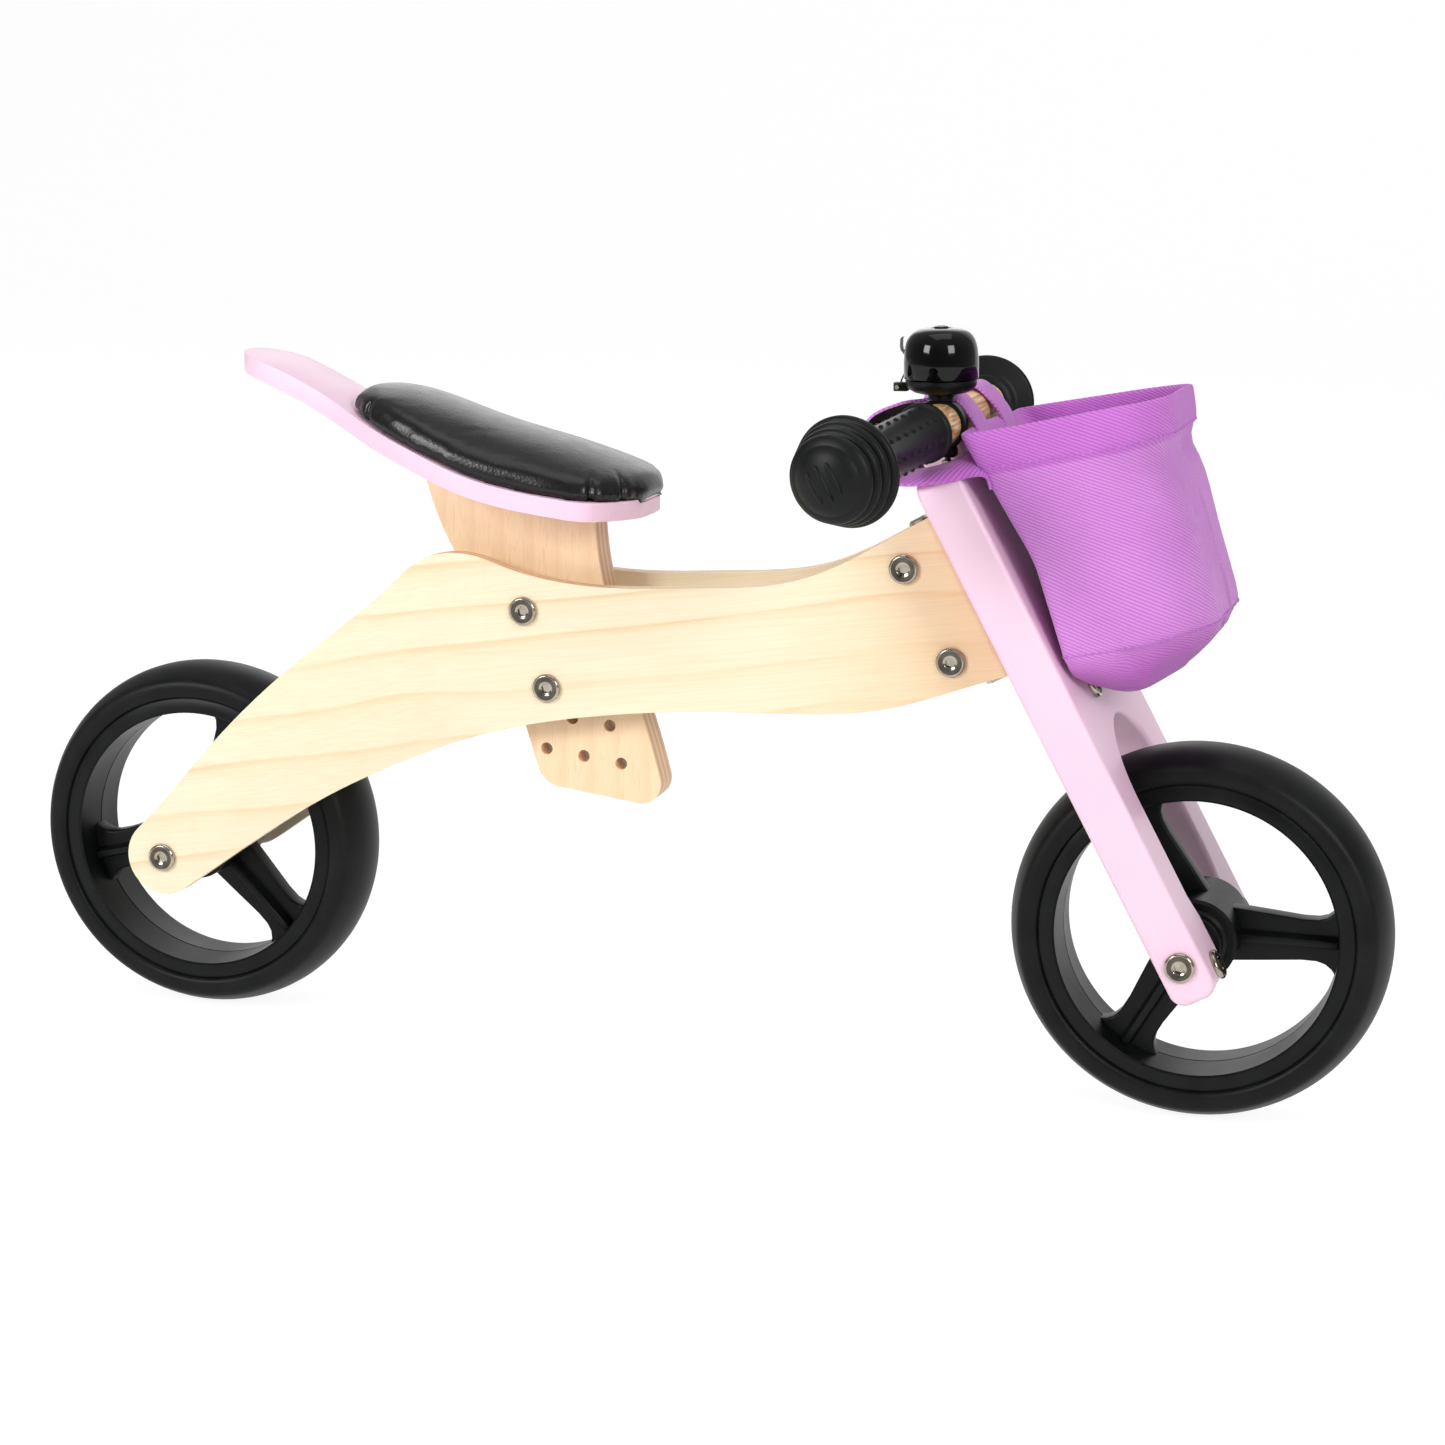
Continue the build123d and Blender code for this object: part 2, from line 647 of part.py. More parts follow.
with BuildPart() as rear_axle_spacers:
    with BuildSketch(Plane.XZ):
        with Locations(rear_xz(0, 0)):
            Circle(BUSH_FLANGE_D / 2)
            Circle(AXLE_D / 2 + RUN_CLEAR, mode=Mode.SUBTRACT)
    extrude(amount=TAIL_GAP / 2, both=True)
    with BuildSketch(Plane.XZ):
        with Locations(rear_xz(0, 0)):
            Rectangle(WHEEL_D, WHEEL_D)
    extrude(amount=LEG_INNER, both=True, mode=Mode.SUBTRACT)
rear_axle_spacers.part.label = "rear_axle_spacers"
export_step(rear_axle_spacers.part, "parts/rear_axle_spacers.step")

# Wheels: tyre, moulded rim with three ribbed spokes, bushes
for wheel_name, wheel_x, first_spoke in (("front", FRONT_X, 0.0), ("rear", REAR_X, 195.0)):
    wheel_plane = Plane(origin=(wheel_x, 0, AXLE_Z), x_dir=(1, 0, 0), z_dir=(0, -1, 0))
    turn_plane = Plane(origin=(wheel_x, 0, AXLE_Z), x_dir=(0, 1, 0), z_dir=(1, 0, 0))
    wheel_axis = Axis((wheel_x, 0, AXLE_Z), (0, 1, 0))
    with BuildPart() as tyre:
        with BuildSketch(turn_plane):
            with BuildLine():
                seat_r = TYRE_SEAT_D / 2 + SEAT_CLEAR
                edge_r = WHEEL_D / 2 - TYRE_CROWN
                Polyline(
                    (TYRE_W / 2 - 1, edge_r),
                    (TYRE_W / 2, edge_r - 2),
                    (TYRE_W / 2, seat_r + BEAD_GROOVE),
                    (TYRE_W / 2 - BEAD_GROOVE, seat_r),
                    (BEAD_GROOVE - TYRE_W / 2, seat_r),
                    (-TYRE_W / 2, seat_r + BEAD_GROOVE),
                    (-TYRE_W / 2, edge_r - 2),
                    (1 - TYRE_W / 2, edge_r),
                )
                ThreePointArc((1 - TYRE_W / 2, edge_r), (0, WHEEL_D / 2), (TYRE_W / 2 - 1, edge_r))
            make_face()
        revolve(axis=wheel_axis)
    tyre.part.label = wheel_name + "_tyre"
    export_step(tyre.part, "parts/" + wheel_name + "_tyre.step")

    with BuildPart() as rim:
        with BuildSketch(turn_plane):
            with Locations((0, (TYRE_SEAT_D + RIM_INNER_D) / 4)):
                RectangleRounded(RIM_W, (TYRE_SEAT_D - RIM_INNER_D) / 2, 1.2)
        revolve(axis=wheel_axis)
        with BuildSketch(wheel_plane):
            Circle(HUB_D / 2)
        extrude(amount=HUB_W / 2, both=True)
        with BuildSketch(wheel_plane):
            Circle(NOSE_D / 2)
        extrude(amount=NOSE_W / 2, both=True)
        rim_r = RIM_INNER_D / 2 + 1
        with BuildSketch(wheel_plane):
            for spoke in range(SPOKES):
                with Locations(Location((0, 0), first_spoke + spoke * 360 / SPOKES)):
                    with BuildLine(mode=Mode.PRIVATE) as spoke_line:
                        Polyline(
                            (0, -SPOKE_HUB_W / 2),
                            (RIM_INNER_D / 2 - SPOKE_FLARE, -SPOKE_RIM_W / 2),
                            (rim_r, -SPOKE_RIM_W / 2 - SPOKE_FLARE),
                            (rim_r, SPOKE_RIM_W / 2 + SPOKE_FLARE),
                            (RIM_INNER_D / 2 - SPOKE_FLARE, SPOKE_RIM_W / 2),
                            (0, SPOKE_HUB_W / 2),
                            close=True,
                        )
                    add(make_face(spoke_line.line, mode=Mode.PRIVATE))
        extrude(amount=SPOKE_PLATE / 2, both=True)
        with BuildSketch(wheel_plane):
            for spoke in range(SPOKES):
                with Locations(Location((0, 0), first_spoke + spoke * 360 / SPOKES)):
                    Rectangle(rim_r, RIB_W, align=(Align.MIN, Align.CENTER))
        extrude(amount=RIB_DEPTH / 2, both=True)
        with BuildSketch(wheel_plane):
            Circle(BUSH_D / 2 + SEAT_CLEAR)
        extrude(amount=NOSE_W, both=True, mode=Mode.SUBTRACT)
    rim.part.label = wheel_name + "_rim"
    export_step(rim.part, "parts/" + wheel_name + "_rim.step")

    with BuildPart() as bushes:
        bush_seats = [side_plane(wheel_x, AXLE_Z, -NOSE_W / 2), side_plane(wheel_x, AXLE_Z, NOSE_W / 2)]
        with BuildSketch(*bush_seats):
            Circle(BUSH_FLANGE_D / 2)
        extrude(amount=BUSH_FLANGE)
        with BuildSketch(*bush_seats):
            Circle(BUSH_D / 2)
        extrude(amount=-BUSH_L)
        with BuildSketch(wheel_plane):
            Circle(AXLE_D / 2 + RUN_CLEAR)
        extrude(amount=NOSE_W, both=True, mode=Mode.SUBTRACT)
    bushes.part.label = wheel_name + "_bushes"
    export_step(bushes.part, "parts/" + wheel_name + "_bushes.step")

# Fork board: slot with a round top, stepped legs, saddle for the bar
arch_top = WHEEL_D / 2 + ARCH_GAP
arch_low = arch_top - SLOT_W / 2
bracket_high = HEAD_HIGH + STEER_FLANGE + STEER_PLAY
bracket_low = HEAD_LOW - STEER_FLANGE - STEER_PLAY
foot_high = bracket_high + UPPER_NECK + BRACKET_FOOT / 2
foot_low = bracket_low - LOWER_NECK - BRACKET_FOOT / 2
bracket_bolts_at = []
for bolt_y in (-BRACKET_BOLT_Y, BRACKET_BOLT_Y):
    bracket_bolts_at.append((bolt_y, foot_high))
    bracket_bolts_at.append((bolt_y, foot_low))
leg_bolts_at = [(-LEG_BOLT_Y, -LEG_BOLT_DOWN), (LEG_BOLT_Y, -LEG_BOLT_DOWN)]
with BuildPart() as fork:
    with BuildSketch(fork_face(FORK_REAR)):
        with BuildLine():
            Polyline(
                (-LEG_INNER, -FORK_END),
                (-FORK_W / 2, -FORK_END),
                (-FORK_W / 2, FORK_SHOULDER),
                (-SADDLE_W / 2, FORK_SHOULDER),
                (-SADDLE_W / 2, FORK_TOP),
                (SADDLE_W / 2, FORK_TOP),
                (SADDLE_W / 2, FORK_SHOULDER),
                (FORK_W / 2, FORK_SHOULDER),
                (FORK_W / 2, -FORK_END),
                (LEG_INNER, -FORK_END),
                (LEG_INNER, LEG_STEP_LOW),
                (SLOT_W / 2, LEG_STEP_HIGH),
                (SLOT_W / 2, arch_low),
            )
            ThreePointArc((SLOT_W / 2, arch_low), (0, arch_top), (-SLOT_W / 2, arch_low))
            Polyline(
                (-SLOT_W / 2, arch_low),
                (-SLOT_W / 2, LEG_STEP_HIGH),
                (-LEG_INNER, LEG_STEP_LOW),
                (-LEG_INNER, -FORK_END),
            )
        make_face()
    extrude(amount=FORK_T)
    up_board = Axis(fork_point(0, 0), ALONG)
    fillet(fork.edges().filter_by(Axis.Y).group_by(up_board)[0], radius=END_R)
    fillet(fork.edges().filter_by(Axis((0, 0, 0), NORMAL)).group_by(Axis.Y)[0].sort_by(up_board)[-1], radius=8)
    fillet(fork.edges().filter_by(Axis((0, 0, 0), NORMAL)).group_by(Axis.Y)[-1].sort_by(up_board)[-1], radius=8)
    off_board = Axis(fork_point(0, 0), NORMAL)
    front_edges = fork.faces().sort_by(off_board)[-1].edges()
    rear_edges = fork.faces().sort_by(off_board)[0].edges()
    fillet(front_edges + rear_edges, radius=FORK_EDGE)
    with BuildSketch(fork_side(0)):
        with Locations((BAR_NORMAL, BAR_ALONG)):
            Circle(BAR_D / 2 + RUN_CLEAR)
    extrude(amount=FORK_W, both=True, mode=Mode.SUBTRACT)
    with BuildSketch(Plane(origin=FRONT_AXLE, x_dir=(1, 0, 0), z_dir=(0, -1, 0))):
        Circle(AXLE_D / 2 + RUN_CLEAR)
    extrude(amount=FORK_W, both=True, mode=Mode.SUBTRACT)
    with BuildSketch(fork_face(FORK_T / 2 + 1)):
        with Locations(*bracket_bolts_at):
            Circle(BOLT_HOLE)
    extrude(amount=-FORK_T - 2, mode=Mode.SUBTRACT)
    with BuildSketch(fork_face(FORK_T / 2 + 1)):
        with Locations(*leg_bolts_at):
            Circle(BOLT_HOLE)
    extrude(amount=-LEG_BOLT_L - 2, mode=Mode.SUBTRACT)
    with BuildSketch(fork_cross(BAR_ALONG)):
        with Locations((DOWEL_NORMAL, -DOWEL_Y), (DOWEL_NORMAL, DOWEL_Y)):
            Circle(DOWEL_D / 2 + SEAT_CLEAR)
    extrude(amount=-BAR_D / 2 - DOWEL_DEEP, mode=Mode.SUBTRACT)
fork.part.label = "fork"
export_step(fork.part, "parts/fork.step")

with BuildPart() as leg_bolts:
    front_seat = fork_face(FORK_T / 2)
    with BuildSketch(front_seat):
        with Locations(*leg_bolts_at):
            Circle(BOLT_HEAD_D / 2)
    extrude(amount=BOLT_HEAD_H)
    chamfer(leg_bolts.faces().sort_by(off_board)[-2:].edges(), length=BOLT_CHAMFER)
    with BuildSketch(front_seat):
        with Locations(*leg_bolts_at):
            Circle(BOLT_D / 2)
    extrude(amount=-LEG_BOLT_L)
    with BuildSketch(front_seat.offset(BOLT_HEAD_H)):
        with Locations(*leg_bolts_at):
            RegularPolygon(BOLT_SOCKET / 2, 6)
    extrude(amount=-SOCKET_DEPTH, mode=Mode.SUBTRACT)
leg_bolts.part.label = "leg_bolts"
export_step(leg_bolts.part, "parts/leg_bolts.step")

with BuildPart() as bracket_bolts:
    with BuildSketch(front_seat):
        with Locations(*bracket_bolts_at):
            Circle(BOLT_HEAD_D / 2)
    extrude(amount=BOLT_HEAD_H)
    chamfer(bracket_bolts.faces().sort_by(off_board)[-4:].edges(), length=BOLT_CHAMFER)
    with BuildSketch(front_seat):
        with Locations(*bracket_bolts_at):
            Circle(BOLT_D / 2)
    extrude(amount=-FORK_T - BRACKET_T)
    with BuildSketch(front_seat.offset(BOLT_HEAD_H)):
        with Locations(*bracket_bolts_at):
            RegularPolygon(BOLT_SOCKET / 2, 6)
    extrude(amount=-SOCKET_DEPTH, mode=Mode.SUBTRACT)
bracket_bolts.part.label = "bracket_bolts"
export_step(bracket_bolts.part, "parts/bracket_bolts.step")

# Steel brackets that carry the fork on the steering pin
bracket_kinds = [("bracket_upper", bracket_high, 1, UPPER_NECK), ("bracket_lower", bracket_low, -1, LOWER_NECK)]
for bracket_name, lug_at, grow, neck in bracket_kinds:
    with BuildPart() as bracket:
        with BuildSketch(fork_cross(lug_at)):
            with Locations((FORK_REAR, 0)):
                Rectangle(AXIS_BACK + FORK_REAR, LUG_W, align=(Align.MAX, Align.CENTER))
            with Locations((-AXIS_BACK, 0)):
                Circle(LUG_W / 2)
            with Locations((-AXIS_BACK, 0)):
                Circle(PIN_D / 2 + RUN_CLEAR, mode=Mode.SUBTRACT)
        extrude(amount=grow * BRACKET_T)
        neck_mid = lug_at + grow * (neck + 1) / 2
        foot_mid = lug_at + grow * (neck + BRACKET_FOOT / 2)
        with BuildSketch(fork_face(FORK_REAR)):
            with Locations((0, neck_mid)):
                Rectangle(LUG_W, neck + 1)
            with Locations((0, foot_mid)):
                RectangleRounded(BRACKET_W, BRACKET_FOOT, 5)
            with Locations((-BRACKET_BOLT_Y, foot_mid), (BRACKET_BOLT_Y, foot_mid)):
                Circle(BOLT_HOLE, mode=Mode.SUBTRACT)
        extrude(amount=-BRACKET_T)
    bracket.part.label = bracket_name
    export_step(bracket.part, "parts/" + bracket_name + ".step")

pin_high = bracket_high + BRACKET_T
pin_low = bracket_low - BRACKET_T
with BuildPart() as steering_pin:
    with BuildSketch(fork_cross(pin_low - NUT_H)):
        with Locations((-AXIS_BACK, 0)):
            Circle(PIN_D / 2)
    extrude(amount=pin_high - pin_low + NUT_H)
    with BuildSketch(fork_cross(pin_high)):
        with Locations((-AXIS_BACK, 0)):
            Circle(PIN_HEAD_D / 2)
    extrude(amount=PIN_HEAD_H)
    chamfer(steering_pin.faces().sort_by(up_board)[-1].edges(), length=1.0)
    with BuildSketch(fork_cross(pin_high + PIN_HEAD_H)):
        with Locations((-AXIS_BACK, 0)):
            RegularPolygon(BOLT_SOCKET / 2, 6)
    extrude(amount=-SOCKET_DEPTH, mode=Mode.SUBTRACT)
steering_pin.part.label = "steering_pin"
export_step(steering_pin.part, "parts/steering_pin.step")

with BuildPart() as steering_nut:
    with BuildSketch(fork_cross(pin_low)):
        with Locations((-AXIS_BACK, 0)):
            RegularPolygon(PIN_HEAD_D / 2, 6, major_radius=False)
            Circle(PIN_D / 2 + SEAT_CLEAR, mode=Mode.SUBTRACT)
    extrude(amount=-NUT_H)
steering_nut.part.label = "steering_nut"
export_step(steering_nut.part, "parts/steering_nut.step")

# Front axle and its end bolts
front_ends = [side_plane(FRONT_X, AXLE_Z, -FORK_W / 2), side_plane(FRONT_X, AXLE_Z, FORK_W / 2)]
with BuildPart() as front_axle:
    with BuildSketch(Plane(origin=FRONT_AXLE, x_dir=(1, 0, 0), z_dir=(0, -1, 0))):
        Circle(AXLE_D / 2)
    extrude(amount=FORK_W / 2, both=True)
    with BuildSketch(*front_ends):
        Circle(BOLT_HOLE)
    extrude(amount=-AXLE_BOLT_L - 1, mode=Mode.SUBTRACT)
front_axle.part.label = "front_axle"
export_step(front_axle.part, "parts/front_axle.step")

with BuildPart() as front_axle_bolts:
    with BuildSketch(*front_ends):
        Circle(BOLT_HEAD_D / 2)
    extrude(amount=BOLT_HEAD_H)
    chamfer(front_axle_bolts.faces().filter_by(Axis.Y).group_by(Axis.Y)[0].edges(), length=BOLT_CHAMFER)
    chamfer(front_axle_bolts.faces().filter_by(Axis.Y).group_by(Axis.Y)[-1].edges(), length=BOLT_CHAMFER)
    with BuildSketch(*front_ends):
        Circle(BOLT_D / 2)
    extrude(amount=-AXLE_BOLT_L)
    with BuildSketch(*[seat.offset(BOLT_HEAD_H) for seat in front_ends]):
        RegularPolygon(BOLT_SOCKET / 2, 6)
    extrude(amount=-SOCKET_DEPTH, mode=Mode.SUBTRACT)
front_axle_bolts.part.label = "front_axle_bolts"
export_step(front_axle_bolts.part, "parts/front_axle_bolts.step")

# Handlebar: swept back past each side of the saddle
sweep_s = sin(radians(BAR_SWEEP))
sweep_c = cos(radians(BAR_SWEEP))
wing_y = BAR_FLAT + WING_L * sweep_c
wing_n = BAR_NORMAL - WING_L * sweep_s
with BuildPart() as handlebar:
    with BuildLine(fork_cross(BAR_ALONG)) as bar_path:
        FilletPolyline(
            (wing_n, -wing_y),
            (BAR_NORMAL, -BAR_FLAT),
            (BAR_NORMAL, BAR_FLAT),
            (wing_n, wing_y),
            radius=BAR_BEND_R,
        )
    with BuildSketch(Plane(origin=bar_path.line @ 0, z_dir=bar_path.line % 0)):
        Circle(BAR_D / 2)
    sweep()
    with BuildSketch(fork_cross(BAR_ALONG + DOWEL_IN_BAR)):
        with Locations((DOWEL_NORMAL, -DOWEL_Y), (DOWEL_NORMAL, DOWEL_Y)):
            Circle(DOWEL_D / 2 + SEAT_CLEAR)
    extrude(amount=-BAR_D, mode=Mode.SUBTRACT)
handlebar.part.label = "handlebar"
export_step(handlebar.part, "parts/handlebar.step")

with BuildPart() as handlebar_dowels:
    with BuildSketch(fork_cross(BAR_ALONG + DOWEL_IN_BAR - 0.2)):
        with Locations((DOWEL_NORMAL, -DOWEL_Y), (DOWEL_NORMAL, DOWEL_Y)):
            Circle(DOWEL_D / 2)
    extrude(amount=0.4 - DOWEL_IN_BAR - BAR_D / 2 - DOWEL_DEEP)
handlebar_dowels.part.label = "handlebar_dowels"
export_step(handlebar_dowels.part, "parts/handlebar_dowels.step")

# Grips: sleeve, inner flange and a stepped bumper with a domed end
for grip_name, side in (("grip_right", -1), ("grip_left", 1)):
    wing_root = fork_point(BAR_ALONG, BAR_NORMAL, side * BAR_FLAT)
    wing_dir = Vector(0, side * sweep_c, 0) - NORMAL * sweep_s
    grip_plane = Plane(origin=wing_root, x_dir=wing_dir, z_dir=wing_dir.cross(ALONG))
    bore_r = BAR_D / 2 + RUN_CLEAR
    with BuildPart() as grip:
        with BuildSketch(grip_plane):
            with BuildLine():
                rings = []
                for ring in range(4):
                    ring_s = BUMPER_START + ring * BUMPER_STEP
                    ring_r = BUMPER_D / 2 - ring * BUMPER_DROP
                    if ring > 0:
                        rings.append((ring_s - 0.4, ring_r - BUMPER_GROOVE))
                    rings.append((ring_s + 0.8, ring_r))
                    rings.append((ring_s + BUMPER_STEP - 1.2, ring_r - 0.4))
                dome_s = rings[-1][0]
                dome_r = rings[-1][1]
                Polyline(
                    (WING_L + 0.5, 0),
                    (WING_L + 0.5, bore_r),
                    (GRIP_START, bore_r),
                    (GRIP_START, GRIP_FLANGE_D / 2),
                    (GRIP_START + GRIP_FLANGE, GRIP_FLANGE_D / 2),
                    (GRIP_START + GRIP_FLANGE + 1, GRIP_D / 2),
                    (BUMPER_START - 1, GRIP_D / 2),
                    *rings,
                )
                ball_r = (dome_r * dome_r + DOME_H * DOME_H) / (2 * DOME_H)
                ball_s = dome_s + DOME_H - ball_r
                ThreePointArc(
                    (dome_s, dome_r),
                    (ball_s + sqrt(ball_r * ball_r - dome_r * dome_r / 4), dome_r / 2),
                    (dome_s + DOME_H, 0),
                )
                Line((dome_s + DOME_H, 0), (WING_L + 0.5, 0))
            make_face()
        revolve(axis=Axis(wing_root, wing_dir))
    grip.part.label = grip_name
    export_step(grip.part, "parts/" + grip_name + ".step")

# Bell: clamp on the bar, bowl, dome, striker
bar_at = fork_point(BAR_ALONG, BAR_NORMAL, BELL_Y)
lean_s = sin(radians(BELL_LEAN))
lean_c = cos(radians(BELL_LEAN))
bell_side = Plane(origin=bar_at, x_dir=(lean_c, 0, lean_s), z_dir=(0, -1, 0))
bell_up = Vector(-lean_s, 0, lean_c)
bell_axis = Axis(bar_at, bell_up)


def bell_level(height):
    """Plane square to the bell's axis: local x forward, local y across the bike."""
    return Plane(origin=bar_at + bell_up * height, x_dir=(lean_c, 0, lean_s), z_dir=bell_up)


clamp_r = BAR_D / 2 + RUN_CLEAR + CLAMP_T
with BuildPart() as bell_clamp:
    with BuildSketch(bell_side):
        Circle(clamp_r)
        with Locations((3, -clamp_r)):
            Rectangle(9, 4)
        with Locations((0, clamp_r - 1)):
            Rectangle(CLAMP_W, 3)
        Circle(BAR_D / 2 + RUN_CLEAR, mode=Mode.SUBTRACT)
    extrude(amount=CLAMP_W / 2, both=True)
    with BuildSketch(bell_level(-clamp_r - 3)):
        with Locations((3, 0)):
            Circle(1.5 + RUN_CLEAR)
    extrude(amount=3.5, mode=Mode.SUBTRACT)
bell_clamp.part.label = "bell_clamp"
export_step(bell_clamp.part, "parts/bell_clamp.step")

with BuildPart() as bell_clamp_screw:
    with BuildSketch(bell_level(-clamp_r - 2)):
        with Locations((3, 0)):
            Circle(3.2)
    extrude(amount=-2.0)
    with BuildSketch(bell_level(-clamp_r - 2)):
        with Locations((3, 0)):
            Circle(1.5)
    extrude(amount=2.2)
    with BuildSketch(bell_level(-clamp_r - 4)):
        with Locations((3, 0)):
            Rectangle(4, 0.8)
            Rectangle(0.8, 4)
    extrude(amount=1.0, mode=Mode.SUBTRACT)
bell_clamp_screw.part.label = "bell_clamp_screw"
export_step(bell_clamp_screw.part, "parts/bell_clamp_screw.step")

with BuildPart() as bell_bowl:
    with BuildSketch(bell_side):
        with BuildLine():
            Polyline(
                (0, clamp_r + 0.6),
                (STEM_D / 2, clamp_r + 0.6),
                (STEM_D / 2, BOWL_BASE + 1),
                (BELL_D / 2 - 5, BOWL_BASE + 1),
                (BELL_D / 2 - 0.8, SEAM - 3),
                (BELL_D / 2 - 0.8, SEAM),
                (BELL_D / 2 - 2.4, SEAM),
                (BELL_D / 2 - 2.4, SEAM - 2),
                (BELL_D / 2 - 6, BOWL_BASE + 3),
                (POST_D / 2, BOWL_BASE + 3),
                (POST_D / 2, DOME_TOP - DOME_WALL - 1.2),
                (0, DOME_TOP - DOME_WALL - 1.2),
                close=True,
            )
        make_face()
    revolve(axis=bell_axis)
    with BuildSketch(bell_side):
        with BuildLine():
            Polyline(
                (-STRIKER_X - 2.2, STRIKER_Z - 2),
                (-STRIKER_X - 2.2, STRIKER_Z + 2),
                (-BELL_D / 2 + 1.6, STRIKER_Z + 2),
                (-BELL_D / 2 + 3.4, STRIKER_Z - 2),
                close=True,
            )
        make_face()
        with Locations((-STRIKER_X, STRIKER_Z)):
            Circle(STRIKER_PIN_D / 2 + SEAT_CLEAR, mode=Mode.SUBTRACT)
    extrude(amount=2.0, both=True)
    with BuildSketch(bell_level(DOME_TOP)):
        Circle(1.5 + RUN_CLEAR)
    extrude(amount=-10, mode=Mode.SUBTRACT)
bell_bowl.part.label = "bell_bowl"
export_step(bell_bowl.part, "parts/bell_bowl.step")

dome_base = SEAM + SEAM_GAP
skirt_top = dome_base + DOME_SKIRT
dome_r = BELL_D / 2
with BuildPart() as bell_dome:
    with BuildSketch(bell_side):
        with BuildLine():
            Line((dome_r, dome_base), (dome_r, skirt_top))
            ThreePointArc(
                (dome_r, skirt_top),
                (dome_r * 0.74, skirt_top + (DOME_TOP - skirt_top) * 0.70),
                (1.5 + RUN_CLEAR, DOME_TOP),
            )
            Line((1.5 + RUN_CLEAR, DOME_TOP), (1.5 + RUN_CLEAR, DOME_TOP - DOME_WALL))
            ThreePointArc(
                (1.5 + RUN_CLEAR, DOME_TOP - DOME_WALL),
                (dome_r * 0.74 - 1.0, skirt_top + (DOME_TOP - skirt_top) * 0.70 - 1.0),
                (dome_r - DOME_WALL, skirt_top),
            )
            Line((dome_r - DOME_WALL, skirt_top), (dome_r - DOME_WALL, dome_base))
            Line((dome_r - DOME_WALL, dome_base), (dome_r, dome_base))
        make_face()
    revolve(axis=bell_axis)
bell_dome.part.label = "bell_dome"
export_step(bell_dome.part, "parts/bell_dome.step")

with BuildPart() as bell_dome_screw:
    with BuildSketch(bell_level(DOME_TOP + 0.2)):
        Circle(3.4)
    extrude(amount=1.4)
    with BuildSketch(bell_level(DOME_TOP + 0.2)):
        Circle(1.5)
    extrude(amount=-8.5)
    with BuildSketch(bell_level(DOME_TOP + 1.6)):
        Rectangle(7.5, 0.9)
    extrude(amount=-0.8, mode=Mode.SUBTRACT)
bell_dome_screw.part.label = "bell_dome_screw"
export_step(bell_dome_screw.part, "parts/bell_dome_screw.step")

with BuildPart() as striker_pin:
    with BuildSketch(bell_side):
        with Locations((-STRIKER_X, STRIKER_Z)):
            Circle(STRIKER_PIN_D / 2)
    extrude(amount=STRIKER_W / 2 + 0.6, both=True)
striker_pin.part.label = "striker_pin"
export_step(striker_pin.part, "parts/striker_pin.step")

with BuildPart() as bell_striker:
    with BuildSketch(bell_side):
        with BuildLine():
            Polyline(
                (-STRIKER_X - STRIKER_T / 2 - 1.0, STRIKER_Z - 2.4),
                (-STRIKER_X - STRIKER_T / 2 - 1.0, STRIKER_TOP),
                (-STRIKER_X + STRIKER_T / 2 - 1.0, STRIKER_TOP),
                (-STRIKER_X + STRIKER_T / 2 - 1.0, STRIKER_Z + 4),
                (-STRIKER_X + 2.0, STRIKER_Z + 2.4),
                (-STRIKER_X + 2.0, STRIKER_Z - 2.4),
                close=True,
            )
        make_face()
        with Locations((-STRIKER_X, STRIKER_Z)):
            Circle(STRIKER_PIN_D / 2 + RUN_CLEAR, mode=Mode.SUBTRACT)
    extrude(amount=STRIKER_W / 2, both=True)
    with BuildSketch(bell_side):
        with Locations((-STRIKER_X, STRIKER_Z)):
            Rectangle(9, 7.6)
    extrude(amount=2.3, both=True, mode=Mode.SUBTRACT)
    knob_x = -STRIKER_X - STRIKER_T / 2
    with BuildSketch(Plane(origin=bar_at + bell_up * KNOB_Z + Vector(lean_c, 0, lean_s) * knob_x,
                           x_dir=(0, 1, 0), z_dir=(lean_c, 0, lean_s))):
        Circle(KNOB_D / 2)
    extrude(amount=STRIKER_X + STRIKER_T / 2 - BELL_D / 2 - KNOB_GAP)
bell_striker.part.label = "bell_striker"
export_step(bell_striker.part, "parts/bell_striker.step")

# Front bag: open-topped, rounded, leaning with the bar; hollow inside
bag_at = fork_point(BAG_ALONG, BAG_NORMAL)
bag_s = sin(radians(BAG_TILT))
bag_c = cos(radians(BAG_TILT))
bag_ahead = Vector(bag_c, 0, bag_s)
bag_up = Vector(-bag_s, 0, bag_c)
bag_sections = [
    (BAG_H, -27.0, 65.0, BAG_HALF, 42.0),
    (BAG_H * 0.77, -18.0, 63.5, BAG_HALF, 42.0),
    (BAG_H * 0.45, -4.5, 67.0, BAG_HALF, 42.0),
    (BAG_H * 0.11, 1.0, 71.0, BAG_HALF - 2, 40.0),
    (BAG_H * -0.04, 5.0, 65.0, BAG_HALF - 9, 34.0),
    (BAG_H * -0.12, 15.0, 52.0, BAG_HALF - 24, 20.0),
]
